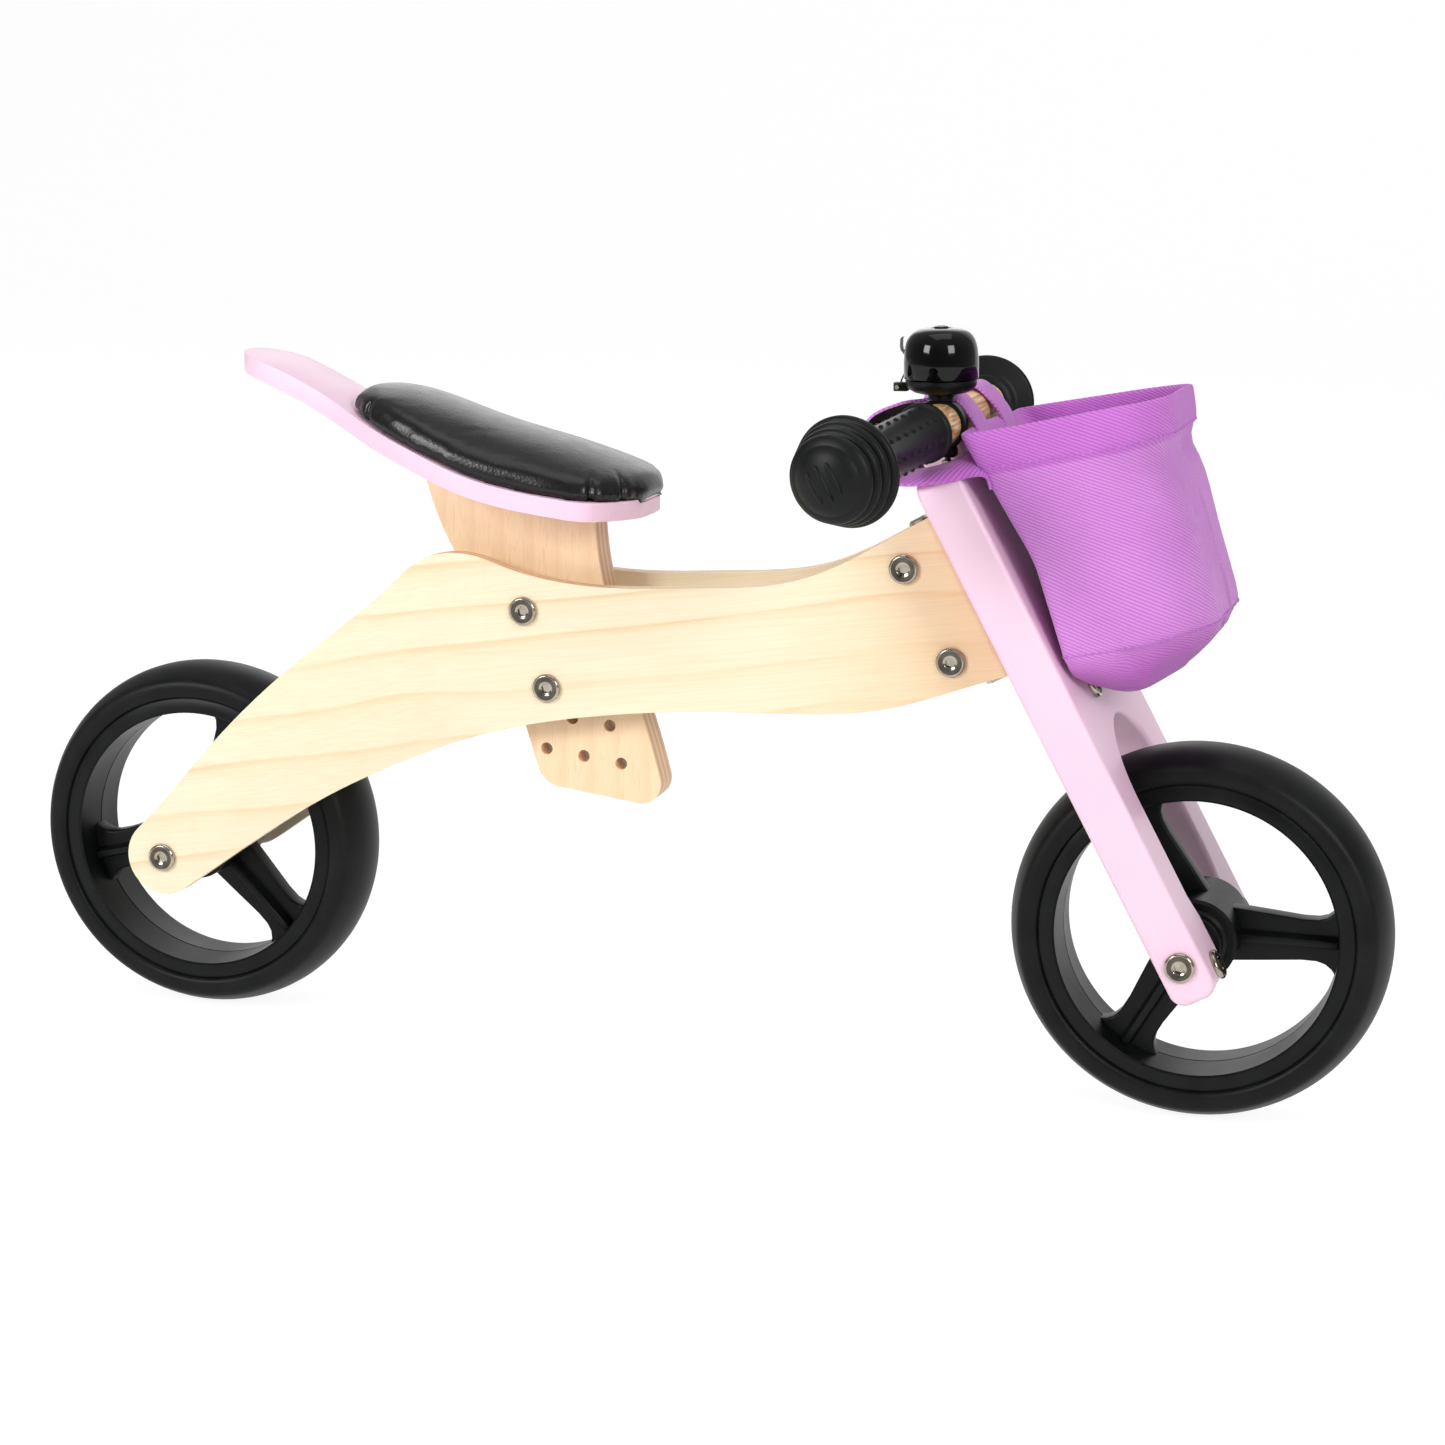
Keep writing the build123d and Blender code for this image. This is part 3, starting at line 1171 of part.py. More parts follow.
with BuildPart() as bag:
    for level, back, front, half, corner in bag_sections:
        with BuildSketch(Plane(origin=bag_at + bag_up * level, x_dir=bag_ahead, z_dir=bag_up)) as cloth:
            with Locations(((back + front) / 2, 0)):
                Rectangle(front - back, 2 * half)
            fillet(cloth.vertices().group_by(Axis.X)[0], radius=BAG_BACK_R)
            fillet(cloth.vertices().group_by(Axis.X)[-1], radius=corner)
    loft()
    for level, back, front, half, corner in bag_sections:
        lift = BAG_WALL if level < 0 else 0.0
        if level == BAG_H:
            lift = 0.5
        with BuildSketch(Plane(origin=bag_at + bag_up * (level + lift), x_dir=bag_ahead, z_dir=bag_up)) as room:
            with Locations(((back + front) / 2, 0)):
                Rectangle(front - back - 2 * BAG_WALL, 2 * (half - BAG_WALL))
            fillet(room.vertices().group_by(Axis.X)[0], radius=BAG_BACK_R - BAG_WALL)
            fillet(room.vertices().group_by(Axis.X)[-1], radius=corner - BAG_WALL)
    loft(mode=Mode.SUBTRACT)
bag.part.label = "bag"
export_step(bag.part, "parts/bag.step")

# Straps: slack loops over the grips, their front ends sewn to the bag's sides
strap_in = FORK_W / 2 + STRAP_OFF
strap_sewn = BAG_HALF + STRAP_GAP
loop_normal = BAR_NORMAL - (strap_in + STRAP_W / 2 - BAR_FLAT) * sweep_s / sweep_c
loop_at = (loop_normal, BAR_ALONG - STRAP_SAG)
sewn_at = (loop_normal + STRAP_REACH, BAR_ALONG - STRAP_SAG - STRAP_DROP)
for strap_name, side in (("bag_strap_right", -1), ("bag_strap_left", 1)):
    with BuildPart() as strap:
        for start, length, keep_from in ((strap_in, STRAP_W, -100.0), (strap_sewn, STRAP_W / 2, sewn_at[0])):
            with BuildSketch(fork_side(side * start)):
                with Locations(loop_at):
                    Circle(STRAP_R + STRAP_T)
                with Locations(sewn_at):
                    Circle(STRAP_END_R + STRAP_T)
                make_hull()
                with BuildSketch(mode=Mode.PRIVATE) as strap_hole:
                    with Locations(loop_at):
                        Circle(STRAP_R)
                    with Locations(sewn_at):
                        Circle(STRAP_END_R)
                    make_hull()
                add(strap_hole.sketch, mode=Mode.SUBTRACT)
                with Locations((keep_from, BAR_ALONG)):
                    Rectangle(100, 200, align=(Align.MAX, Align.CENTER), mode=Mode.SUBTRACT)
            extrude(amount=-side * length)
    strap.part.label = strap_name
    export_step(strap.part, "parts/" + strap_name + ".step")
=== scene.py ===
import json
from functools import partial
from math import cos, exp, pi, radians, sin, sqrt, tau

import bmesh
import bpy
from mathutils import Matrix, Vector, noise


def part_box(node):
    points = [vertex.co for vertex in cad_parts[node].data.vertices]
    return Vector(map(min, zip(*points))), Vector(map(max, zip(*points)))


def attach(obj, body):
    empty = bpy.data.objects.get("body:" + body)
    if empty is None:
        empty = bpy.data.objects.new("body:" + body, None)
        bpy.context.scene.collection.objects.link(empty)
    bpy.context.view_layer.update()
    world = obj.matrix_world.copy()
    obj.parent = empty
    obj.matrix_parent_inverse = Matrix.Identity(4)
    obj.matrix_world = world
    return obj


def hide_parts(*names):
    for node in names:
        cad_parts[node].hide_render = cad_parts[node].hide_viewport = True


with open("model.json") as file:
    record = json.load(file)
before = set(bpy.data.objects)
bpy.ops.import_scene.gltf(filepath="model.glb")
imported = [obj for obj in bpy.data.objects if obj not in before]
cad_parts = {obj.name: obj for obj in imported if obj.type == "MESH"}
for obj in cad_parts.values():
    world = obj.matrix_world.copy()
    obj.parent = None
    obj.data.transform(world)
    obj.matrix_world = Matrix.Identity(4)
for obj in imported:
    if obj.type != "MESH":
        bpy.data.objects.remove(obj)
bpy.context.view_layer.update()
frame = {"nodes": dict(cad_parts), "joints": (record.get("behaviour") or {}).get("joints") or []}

bl_info = {
    "name": "Wooden balance bike",
    "version": (1, 0, 0),
    "blender": (4, 5, 0),
    "location": "3D View > Sidebar > Balance bike",
    "description": "Dresses the packed balance bike with its wheels, bolts, grips, bell, seat pad and bag",
    "category": "Add Mesh",
}

MM = 0.001
NODES = frame["nodes"]
JOINTS = {joint["name"]: joint for joint in frame["joints"]}
FRONT_AXLE = Vector(JOINTS["front_wheel_spin"]["pos_m"])
REAR_AXLE = Vector(JOINTS["rear_wheel_spin"]["pos_m"])
UP_FORK = Vector(JOINTS["steering"]["axis"]).normalized()
OFF_FORK = Vector((UP_FORK.z, 0, -UP_FORK.x))
ACROSS = Vector((0, 1, 0))


def fork_point(along, normal, across=0.0):
    """Place measured in millimetres up the fork board, off its middle plane and across the bike."""
    return FRONT_AXLE + UP_FORK * (along * MM) + OFF_FORK * (normal * MM) + ACROSS * (across * MM)


# Sizes and colours that a user would change


def length(name, text, millimetres):
    """Length property given in millimetres and kept in metres."""
    return bpy.props.FloatProperty(name=name, description=text, default=millimetres * MM, unit="LENGTH", precision=5)


def colour(name, text, value):
    """Colour property kept as an sRGB hex value."""
    return bpy.props.StringProperty(name=name, description=text, default=value)


class BikeSizes(bpy.types.PropertyGroup):
    """Sizes of the pieces that this file models."""

    tyre_radius: length("Tyre radius", "From the axle to the crown of the tread", 90)
    tyre_half: length("Tyre half width", "From the middle plane to the sidewall", 22)
    bead_radius: length("Bead radius", "Where the tyre sits on the rim", 74)
    rim_inner: length("Rim inner radius", "From the axle to the inside of the rim band", 65.8)
    rim_half: length("Rim half width", "From the middle plane to the face of the rim band", 20.4)
    bolt_radius: length("Bolt head radius", "Radius of the connector bolts' flat heads", 7)
    bolt_height: length("Bolt head height", "How far the heads stand off the wood", 2.5)
    socket_radius: length("Socket radius", "Corner radius of the hexagon socket", 2.5)
    grip_radius: length("Grip radius", "Radius of the grip sleeve", 12.5)
    bumper_radius: length("Bumper radius", "Largest radius of the ringed bumper", 24.5)
    bell_radius: length("Bell radius", "Radius of the dome at its skirt", 17)
    pad_rise: length("Pad swell", "Furthest that the pad's cover may swell", 5)
    strap_width: length("Strap width", "Width of the bag's straps", 22)


class BikeColours(bpy.types.PropertyGroup):
    """Colours of the finishes, as sRGB hex values."""

    birch: colour("Birch", "Pale face of the plywood panels", "#FBEDCF")
    birch_line: colour("Birch grain", "Growth lines on the plywood face", "#EFD2A2")
    ply_dark: colour("Ply edge", "Darker plies on a cut edge", "#D0A678")
    beech: colour("Beech", "Seat post and bar", "#FDDFB8")
    beech_line: colour("Beech grain", "Flecks and growth lines of the beech", "#EDC596")
    paint: colour("Paint", "Satin paint of the fork and seat board", "#FBD7EA")
    leather: colour("Seat cover", "Coated cover of the seat pad", "#0C0D0D")
    nickel: colour("Nickel", "Plated connector bolts", "#B9B1A3")
    black_steel: colour("Black steel", "Steering brackets", "#26272A")
    nylon: colour("Nylon", "Bushes and spacers", "#232425")
    tyre: colour("Tyre", "Foam rubber tread", "#090B0A")
    plastic: colour("Moulded plastic", "Rims and bell clamp", "#0A0C0B")
    grip: colour("Grip rubber", "Grips and bumpers", "#101211")
    bell: colour("Bell", "Gloss enamel of the bell", "#060606")
    cloth: colour("Cloth", "Twill of the bag and straps", "#E29AE6")
    cloth_dark: colour("Cloth shadow", "Between the twill's ridges", "#B962C4")
    thread: colour("Thread", "Stitches of the bag", "#CC7AD6")
    floor: colour("Floor", "Studio floor", "#F4F4F4")


def sizes():
    return bpy.context.scene.bike_sizes


def colours():
    return bpy.context.scene.bike_colours


# Material helpers


def linear(value):
    """Linear RGBA of an sRGB hex value."""
    parts = [int(value[place:place + 2], 16) / 255 for place in (1, 3, 5)]
    return tuple(part / 12.92 if part <= 0.04045 else ((part + 0.055) / 1.055) ** 2.4 for part in parts) + (1.0,)


def add_node(tree, kind, links=None, **settings):
    """Add a node, set its options and ramp stops, and set or link its inputs; a node stands for its first output."""
    made = tree.nodes.new("ShaderNode" + kind)
    for key, value in settings.items():
        if key == "stops":
            ramp = made.color_ramp.elements
            while len(ramp) < len(value):
                ramp.new(1.0)
            for stop, (place, shade) in zip(ramp, value):
                stop.position = place
                stop.color = linear(shade) if isinstance(shade, str) else (shade, shade, shade, 1.0)
        else:
            setattr(made, key, value)
    for key, value in (links or {}).items():
        if isinstance(value, bpy.types.Node):
            value = next(socket for socket in value.outputs if socket.enabled)
        if isinstance(value, bpy.types.NodeSocket):
            tree.links.new(value, made.inputs[key])
        else:
            made.inputs[key].default_value = value
    return made


def new_finish(name):
    """Empty material, and a function that adds nodes to it."""
    made = bpy.data.materials.new(name)
    made.use_nodes = True
    made.node_tree.nodes.clear()
    return made, partial(add_node, made.node_tree)


def coat(made, add, **shader):
    """End a material in one principled shader, with its inputs set or linked."""
    skin = add("BsdfPrincipled", {key.replace("_", " "): value for key, value in shader.items()})
    add("OutputMaterial", {"Surface": skin})
    return made


FINISHES = {}


def finish(name):
    """The named finish, made the first time it is asked for."""
    if name not in FINISHES:
        FINISHES[name] = FINISH_MAKERS[name]()
    return FINISHES[name]


def birch_plywood():
    # Rotary-cut birch veneer under clear satin lacquer: pale, long wavy growth lines, striped cut edges
    c = colours()
    made, add = new_finish("birch_plywood")
    place = add("TexCoord").outputs
    # The veneer's grain climbs about 9 degrees towards the head
    turned = add("Mapping", {"Vector": place["Object"], "Rotation": (0, radians(9), 0)})
    long_way = add("Mapping", {"Vector": turned, "Scale": (0.30, 0.8, 1.0)})
    # Growth lines about 22 mm apart, bent by a noise about 140 mm long and 50 mm high
    lines = add("TexWave", {"Vector": long_way, "Scale": 14.3, "Distortion": 4.6, "Detail": 1.0, "Detail Scale": 1.35,
                            "Detail Roughness": 0.4}, wave_type="BANDS", bands_direction="Z", wave_profile="SAW")
    soft = add("ValToRGB", {"Fac": lines.outputs["Fac"]},
               stops=[(0.0, 0.0), (0.52, 0.0), (0.82, 0.30), (0.94, 1.0), (1.0, 0.05)])
    fade = add("TexNoise", {"Vector": long_way, "Scale": 22.0, "Detail": 2.0})
    strength = add("MapRange", {"Value": fade, "From Min": 0.35, "From Max": 0.70, "To Min": 0.2, "To Max": 0.9})
    seen = add("Math", {0: soft, 1: strength}, operation="MULTIPLY")
    # Fibres about 0.8 mm across and 40 mm long, as coarse as the render can show
    stretch = add("Mapping", {"Vector": turned, "Scale": (25, 400, 1200)})
    fibre = add("TexNoise", {"Vector": stretch, "Scale": 1.0, "Detail": 3.0})
    face = add("Mix", {"Factor": seen, 6: linear(c.birch), 7: linear(c.birch_line)}, data_type="RGBA")
    streak = add("ValToRGB", {"Fac": fibre}, stops=[(0.3, "#EFE3CB"), (0.62, "#FFFFFF")])
    fibred = add("Mix", {"Factor": 0.30, 6: face, 7: streak}, data_type="RGBA", blend_type="MULTIPLY")
    # Painted shade: the veneer is multiplied darker and warmer over the last 110 mm towards the head, next to the pink
    # fork
    spot = add("SeparateXYZ", {"Vector": place["Object"]}).outputs
    painted_head_shade = add("MapRange", {"Value": spot["X"], "From Min": 0.045, "From Max": 0.155, "To Max": 0.75},
               interpolation_type="SMOOTHSTEP")
    head_shaded_face = add("Mix", {"Factor": painted_head_shade, 6: fibred, 7: linear("#FDE4CC")}, data_type="RGBA", blend_type="MULTIPLY")
    # Cut edge: five plies through the 8 mm board, followed round the bend of the panel
    outer = add("MapRange", {"Value": spot["X"], "From Min": REAR_AXLE.x + 0.024, "From Max": REAR_AXLE.x + 0.156,
                             "To Min": 0.057, "To Max": 0.0285}, interpolation_type="SMOOTHSTEP")
    off_middle = add("Math", {0: spot["Y"]}, operation="ABSOLUTE")
    depth = add("Math", {0: outer, 1: off_middle}, operation="SUBTRACT")
    share = add("Math", {0: depth, 1: 0.008}, operation="DIVIDE")
    pale, dark = "#F3D6AA", c.ply_dark
    plies = add("ValToRGB", {"Fac": share},
                stops=[(0.0, "#F6DDB6"), (0.17, pale), (0.21, dark), (0.36, dark), (0.40, pale), (0.57, pale),
                       (0.61, dark), (0.76, dark), (0.80, pale), (1.0, "#F6DDB6")])
    facing = add("SeparateXYZ", {"Vector": place["Normal"]}).outputs
    flat = add("Math", {0: facing["Y"]}, operation="ABSOLUTE")
    edge = add("MapRange", {"Value": flat, "From Min": 0.55, "From Max": 0.35})
    wood = add("Mix", {"Factor": edge, 6: head_shaded_face, 7: plies}, data_type="RGBA")
    bump = add("Bump", {"Height": fibre, "Strength": 0.05, "Distance": 0.0002})
    return coat(made, add, Base_Color=wood, Normal=bump, Roughness=0.42, IOR=1.5)


def beech_board():
    # Beech under clear lacquer: warm, short dark flecks along the grain, faint growth arcs
    c = colours()
    made, add = new_finish("beech_board")
    place = add("TexCoord").outputs
    # Flecks about 0.7 mm wide and 9 mm tall
    upright = add("Mapping", {"Vector": place["Object"], "Scale": (1400, 700, 110)})
    flecks = add("TexNoise", {"Vector": upright, "Scale": 1.0, "Detail": 2.0})
    fleck = add("ValToRGB", {"Fac": flecks}, stops=[(0.33, 0.5), (0.45, 0.0)])
    # Growth arcs about 15 mm apart
    slow = add("Mapping", {"Vector": place["Object"], "Scale": (1.0, 1.0, 0.25)})
    arcs = add("TexWave", {"Vector": slow, "Scale": 21.0, "Distortion": 5.0, "Detail": 2.0, "Detail Scale": 0.8},
               wave_type="BANDS", bands_direction="X", wave_profile="SAW")
    arc = add("ValToRGB", {"Fac": arcs.outputs["Fac"]}, stops=[(0.5, 0.0), (0.9, 0.35), (1.0, 0.05)])
    both = add("Math", {0: fleck, 1: arc}, operation="MAXIMUM")
    face = add("Mix", {"Factor": both, 6: linear(c.beech), 7: linear(c.beech_line)}, data_type="RGBA")
    # The post is glued up from plies about 3 mm thick, seen on its cut edge
    spot = add("SeparateXYZ", {"Vector": place["Object"]}).outputs
    ply = add("Math", {0: spot["Y"], 1: 0.0028}, operation="PINGPONG")
    ply_share = add("Math", {0: ply, 1: 0.0028}, operation="DIVIDE")
    plies = add("ValToRGB", {"Fac": ply_share}, stops=[(0.40, "#DDB58A"), (0.60, "#F0D0AA")])
    facing = add("SeparateXYZ", {"Vector": place["Normal"]}).outputs
    flat = add("Math", {0: facing["Y"]}, operation="ABSOLUTE")
    edge = add("MapRange", {"Value": flat, "From Min": 0.6, "From Max": 0.4})
    wood = add("Mix", {"Factor": edge, 6: face, 7: plies}, data_type="RGBA")
    bump = add("Bump", {"Height": flecks, "Strength": 0.08, "Distance": 0.0002})
    return coat(made, add, Base_Color=wood, Normal=bump, Roughness=0.45, IOR=1.5)


def beech_rod():
    # Turned beech dowel: streaks along the bar, cut square at the ends
    made, add = new_finish("beech_rod")
    # Streaks about 1.2 mm across and 45 mm long
    along = add("Mapping", {"Vector": add("TexCoord").outputs["Object"], "Scale": (800, 22, 800)})
    streaks = add("TexNoise", {"Vector": along, "Scale": 1.0, "Detail": 3.0})
    wood = add("ValToRGB", {"Fac": streaks}, stops=[(0.34, "#B97F52"), (0.50, "#DDAE7B"), (0.66, colours().beech)])
    bump = add("Bump", {"Height": streaks, "Strength": 0.12, "Distance": 0.0003})
    return coat(made, add, Base_Color=wood, Normal=bump, Roughness=0.5, IOR=1.5)


def satin_paint():
    # Sprayed satin enamel on sanded wood: even, with a faint print of the grain below
    made, add = new_finish("satin_paint")
    spot = add("TexCoord").outputs["Object"]
    # Patches about 35 mm across where the coat is thinner
    patch = add("TexNoise", {"Vector": spot, "Scale": 28.0, "Detail": 3.0})
    tone = add("ValToRGB", {"Fac": patch}, stops=[(0.30, "#F9D2E7"), (0.70, colours().paint)])
    # Grain print about 1.5 mm across
    grain = add("Mapping", {"Vector": spot, "Scale": (500, 650, 60)})
    print_through = add("TexNoise", {"Vector": grain, "Scale": 1.0, "Detail": 2.0})
    bump = add("Bump", {"Height": print_through, "Strength": 0.05, "Distance": 0.0002})
    return coat(made, add, Base_Color=tone, Normal=bump, Roughness=0.40, IOR=1.5, Coat_Weight=0.15, Coat_Roughness=0.3)


def coated_leather():
    # Polyurethane-coated cover stretched over foam: fine pebble, soft gloss, a little dust in the grain
    made, add = new_finish("coated_leather")
    spot = add("TexCoord").outputs["Object"]
    # Pebble about 1.3 mm, drawn coarser than the real 0.6 mm so that it shows
    pebble = add("TexVoronoi", {"Vector": spot, "Scale": 760.0, "Smoothness": 0.4}, feature="SMOOTH_F1")
    # Creases about 8 mm across
    crease = add("TexNoise", {"Vector": spot, "Scale": 120.0, "Detail": 4.0})
    both = add("Math", {0: pebble, 1: crease}, operation="ADD")
    tone = add("ValToRGB", {"Fac": crease}, stops=[(0.35, colours().leather), (0.75, "#121312")])
    rough = add("MapRange", {"Value": crease, "To Min": 0.22, "To Max": 0.36})
    bump = add("Bump", {"Height": both, "Strength": 0.16, "Distance": 0.0004})
    return coat(made, add, Base_Color=tone, Roughness=rough, Normal=bump, IOR=1.5, Specular_IOR_Level=0.4)


def nickel(name, shade, cloud, roughness):
    """Nickel plate over turned steel, with faint clouding about 5 mm across."""
    made, add = new_finish(name)
    mark = add("TexNoise", {"Vector": add("TexCoord").outputs["Object"], "Scale": 200.0, "Detail": 2.0})
    tone = add("ValToRGB", {"Fac": mark}, stops=[(0.35, cloud), (0.65, shade)])
    rough = add("MapRange", {"Value": mark, "To Min": roughness - 0.04, "To Max": roughness + 0.04})
    return coat(made, add, Base_Color=tone, Roughness=rough, Metallic=1.0)


def nickel_steel():
    # Bright rims and sockets of the bolts
    return nickel("nickel_steel", colours().nickel, "#A49C8E", 0.18)


def nickel_painted_shade():
    # Turned ring floor of a bolt head, painted darker to stand for the dark room that it reflects: painted reflection
    return nickel("nickel_painted_shade", "#6A645A", "#56514A", 0.34)


def black_steel():
    # Black zinc-plated pressed steel: dull, with a slight grey bloom
    made, add = new_finish("black_steel")
    # Plating bloom about 6 mm across
    bloom = add("TexNoise", {"Vector": add("TexCoord").outputs["Object"], "Scale": 160.0, "Detail": 4.0})
    tone = add("ValToRGB", {"Fac": bloom}, stops=[(0.35, colours().black_steel), (0.7, "#3A3B3F")])
    return coat(made, add, Base_Color=tone, Metallic=0.6, Roughness=0.45)


def moulded(name, shade, lighter, roughness, grit):
    """Black moulded finish: fine spark-eroded texture with a grit size in millimetres, paler where it is rubbed."""
    made, add = new_finish(name)
    spot = add("TexCoord").outputs["Object"]
    speck = add("TexNoise", {"Vector": spot, "Scale": 1.0 / (grit * MM), "Detail": 2.0})
    # Haze about 18 mm across
    haze = add("TexNoise", {"Vector": spot, "Scale": 55.0, "Detail": 3.0})
    tone = add("ValToRGB", {"Fac": haze}, stops=[(0.35, shade), (0.72, lighter)])
    rough = add("MapRange", {"Value": haze, "To Min": roughness - 0.07, "To Max": roughness + 0.07})
    bump = add("Bump", {"Height": speck, "Strength": 0.12, "Distance": 0.0002})
    return coat(made, add, Base_Color=tone, Roughness=rough, Normal=bump, IOR=1.5, Specular_IOR_Level=0.18)


def black_nylon():
    # Turned nylon: waxy and slightly grey
    return moulded("black_nylon", colours().nylon, "#2C2D2E", 0.5, 0.8)


def foam_tyre():
    # Moulded foam rubber: smooth satin skin
    return moulded("foam_tyre", colours().tyre, "#141615", 0.44, 1.0)


def rim_plastic():
    # Injection-moulded polypropylene: satin, a little glossier than the tyre
    return moulded("rim_plastic", colours().plastic, "#131515", 0.38, 0.7)


def grip_rubber():
    # Moulded thermoplastic rubber: matt with a soft bloom
    return moulded("grip_rubber", colours().grip, "#171918", 0.42, 0.8)


def strap_inner_black():
    # Matt black for the inner side of the strap's run behind the bar
    return moulded("strap_inner_black", "#161617", "#202021", 0.75, 0.9)


def bell_enamel():
    # Stoved gloss enamel on pressed steel: near mirror with a slight orange peel
    made, add = new_finish("bell_enamel")
    # Orange peel about 3 mm across
    peel = add("TexNoise", {"Vector": add("TexCoord").outputs["Object"], "Scale": 330.0, "Detail": 1.0})
    tone = add("ValToRGB", {"Fac": peel}, stops=[(0.4, colours().bell), (0.8, "#0A0A0B")])
    bump = add("Bump", {"Height": peel, "Strength": 0.02, "Distance": 0.0002})
    return coat(made, add, Base_Color=tone, Normal=bump, Roughness=0.08, IOR=1.5, Specular_IOR_Level=0.3)


def purple_twill():
    # Cotton twill: diagonal ridges, matt with a soft sheen at glancing angles
    c = colours()
    made, add = new_finish("purple_twill")
    weave = add("UVMap", uv_map="cloth")
    # Ridges 1.7 mm apart at 35 degrees: the real 1 mm is too fine for the render
    turned = add("Mapping", {"Vector": weave, "Rotation": (0, 0, radians(55))})
    ridge = add("TexWave", {"Vector": turned, "Scale": tau / (20 * 1.7 * MM), "Distortion": 0.6, "Detail": 2.0,
                            "Detail Scale": 40.0},
                wave_type="BANDS", bands_direction="X", wave_profile="SIN").outputs["Fac"]
    # Threads about 1.1 mm along each ridge
    thread = add("Mapping", {"Vector": turned, "Scale": (600, 900, 1)})
    threads = add("TexNoise", {"Vector": thread, "Scale": 1.0, "Detail": 2.0})
    height = add("Math", {0: threads, 1: 0.5, 2: ridge}, operation="MULTIPLY_ADD")
    # Painted shade: the valleys between the twill's ridges take the darker cloth colour
    tone = add("ValToRGB", {"Fac": ridge}, stops=[(0.15, c.cloth_dark), (0.85, c.cloth)])
    pale = add("Mix", {"Factor": 0.6, 6: linear(c.cloth), 7: tone}, data_type="RGBA")
    # Slow fading over about 60 mm
    fade = add("TexNoise", {"Vector": weave, "Scale": 16.0, "Detail": 3.0})
    faded = add("ValToRGB", {"Fac": fade}, stops=[(0.3, "#F2E6F4"), (0.7, "#FFFFFF")])
    cloth = add("Mix", {"Factor": 1.0, 6: pale, 7: faded}, data_type="RGBA", blend_type="MULTIPLY")
    # The folded hem above 92.5 mm is deeper in colour, and the foot below the seam is darkened with painted shade
    up = add("SeparateXYZ", {"Vector": weave}).outputs["Y"]
    for low, high, shade in ((0.0915, 0.0935, "#F4DAF6"), (0.006, -0.010, "#DDB9DD")):
        zone = add("MapRange", {"Value": up, "From Min": low, "From Max": high}, interpolation_type="SMOOTHSTEP")
        cloth = add("Mix", {"Factor": zone, 6: cloth, 7: linear(shade)}, data_type="RGBA", blend_type="MULTIPLY")
    bump = add("Bump", {"Height": height, "Strength": 0.45, "Distance": 0.0005})
    return coat(made, add, Base_Color=cloth, Normal=bump, Roughness=0.85, IOR=1.4, Sheen_Weight=0.25,
                Sheen_Roughness=0.5)


def sewing_thread():
    # Spun polyester thread: two-ply twist, slightly darker than the cloth
    made, add = new_finish("sewing_thread")
    # Twist about 1 mm long
    twist = add("TexNoise", {"Vector": add("TexCoord").outputs["Object"], "Scale": 900.0, "Detail": 2.0})
    tone = add("ValToRGB", {"Fac": twist}, stops=[(0.3, "#B765C2"), (0.7, colours().thread)])
    return coat(made, add, Base_Color=tone, Roughness=0.7, Sheen_Weight=0.2, Sheen_Roughness=0.5)


FINISH_MAKERS = {maker.__name__: maker for maker in (
    birch_plywood, beech_board, beech_rod, satin_paint, coated_leather, nickel_steel, nickel_painted_shade, black_steel,
    black_nylon, foam_tyre, rim_plastic, grip_rubber, strap_inner_black, bell_enamel, purple_twill, sewing_thread)}


# Mesh helpers


def lathe(bm, profile, root, axis, steps=96, closed=False):
    """Spin a profile of (distance along the axis, radius) in millimetres round the axis."""
    out = axis.orthogonal().normalized() if abs(axis.y) < 0.9 else Vector((1, 0, 0))
    out = (out - axis * out.dot(axis)).normalized()
    line = [bm.verts.new(root + axis * (s * MM) + out * (r * MM)) for s, r in profile]
    ends = line + line[:1] if closed else line
    edges = [bm.edges.new(pair) for pair in zip(ends, ends[1:])]
    bmesh.ops.spin(bm, geom=line + edges, cent=root, axis=axis, angle=tau, steps=steps, use_merge=True)


def new_verts(made):
    """The vertices among what a bmesh operator made."""
    return [item for item in made["geom"] if isinstance(item, bmesh.types.BMVert)]


def add_piece(name, bm, body, nodes, looks, sharp=35.0, edge=0.0):
    """Make a finished bmesh an object that rides on a body and stands for its nodes."""
    bmesh.ops.remove_doubles(bm, verts=bm.verts, dist=0.000002)
    bmesh.ops.recalc_face_normals(bm, faces=bm.faces)
    mesh = bpy.data.meshes.new(name)
    bm.to_mesh(mesh)
    bm.free()
    mesh.polygons.foreach_set("use_smooth", [True] * len(mesh.polygons))
    mesh.set_sharp_from_angle(angle=radians(sharp))
    piece = bpy.data.objects.new(name, mesh)
    bpy.context.scene.collection.objects.link(piece)
    mesh.materials.append(finish(looks))
    if edge:
        round_edges(piece, edge)
    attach(piece, body)
    if nodes:
        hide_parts(*nodes)
    return piece


def round_edges(piece, width, segments=2):
    """Bevel modifier that eases the piece's sharp edges by a width in millimetres."""
    ease = piece.modifiers.new("Eased edges", "BEVEL")
    ease.width = width * MM
    ease.segments = segments
    ease.limit_method = "ANGLE"
    ease.angle_limit = radians(35.0)
    ease.harden_normals = True
    ease.use_clamp_overlap = True


def eased(bm, verts, edges, width, segments=2):
    """Bevel some edges by a width in millimetres; returns all the vertices of their shape."""
    done = bmesh.ops.bevel(bm, geom=list(set(edges)), offset=width * MM, affect="EDGES", segments=segments,
                           profile=0.5, material=-1)
    return list(set(v for v in verts if v.is_valid) | set(v for face in done["faces"] for v in face.verts))


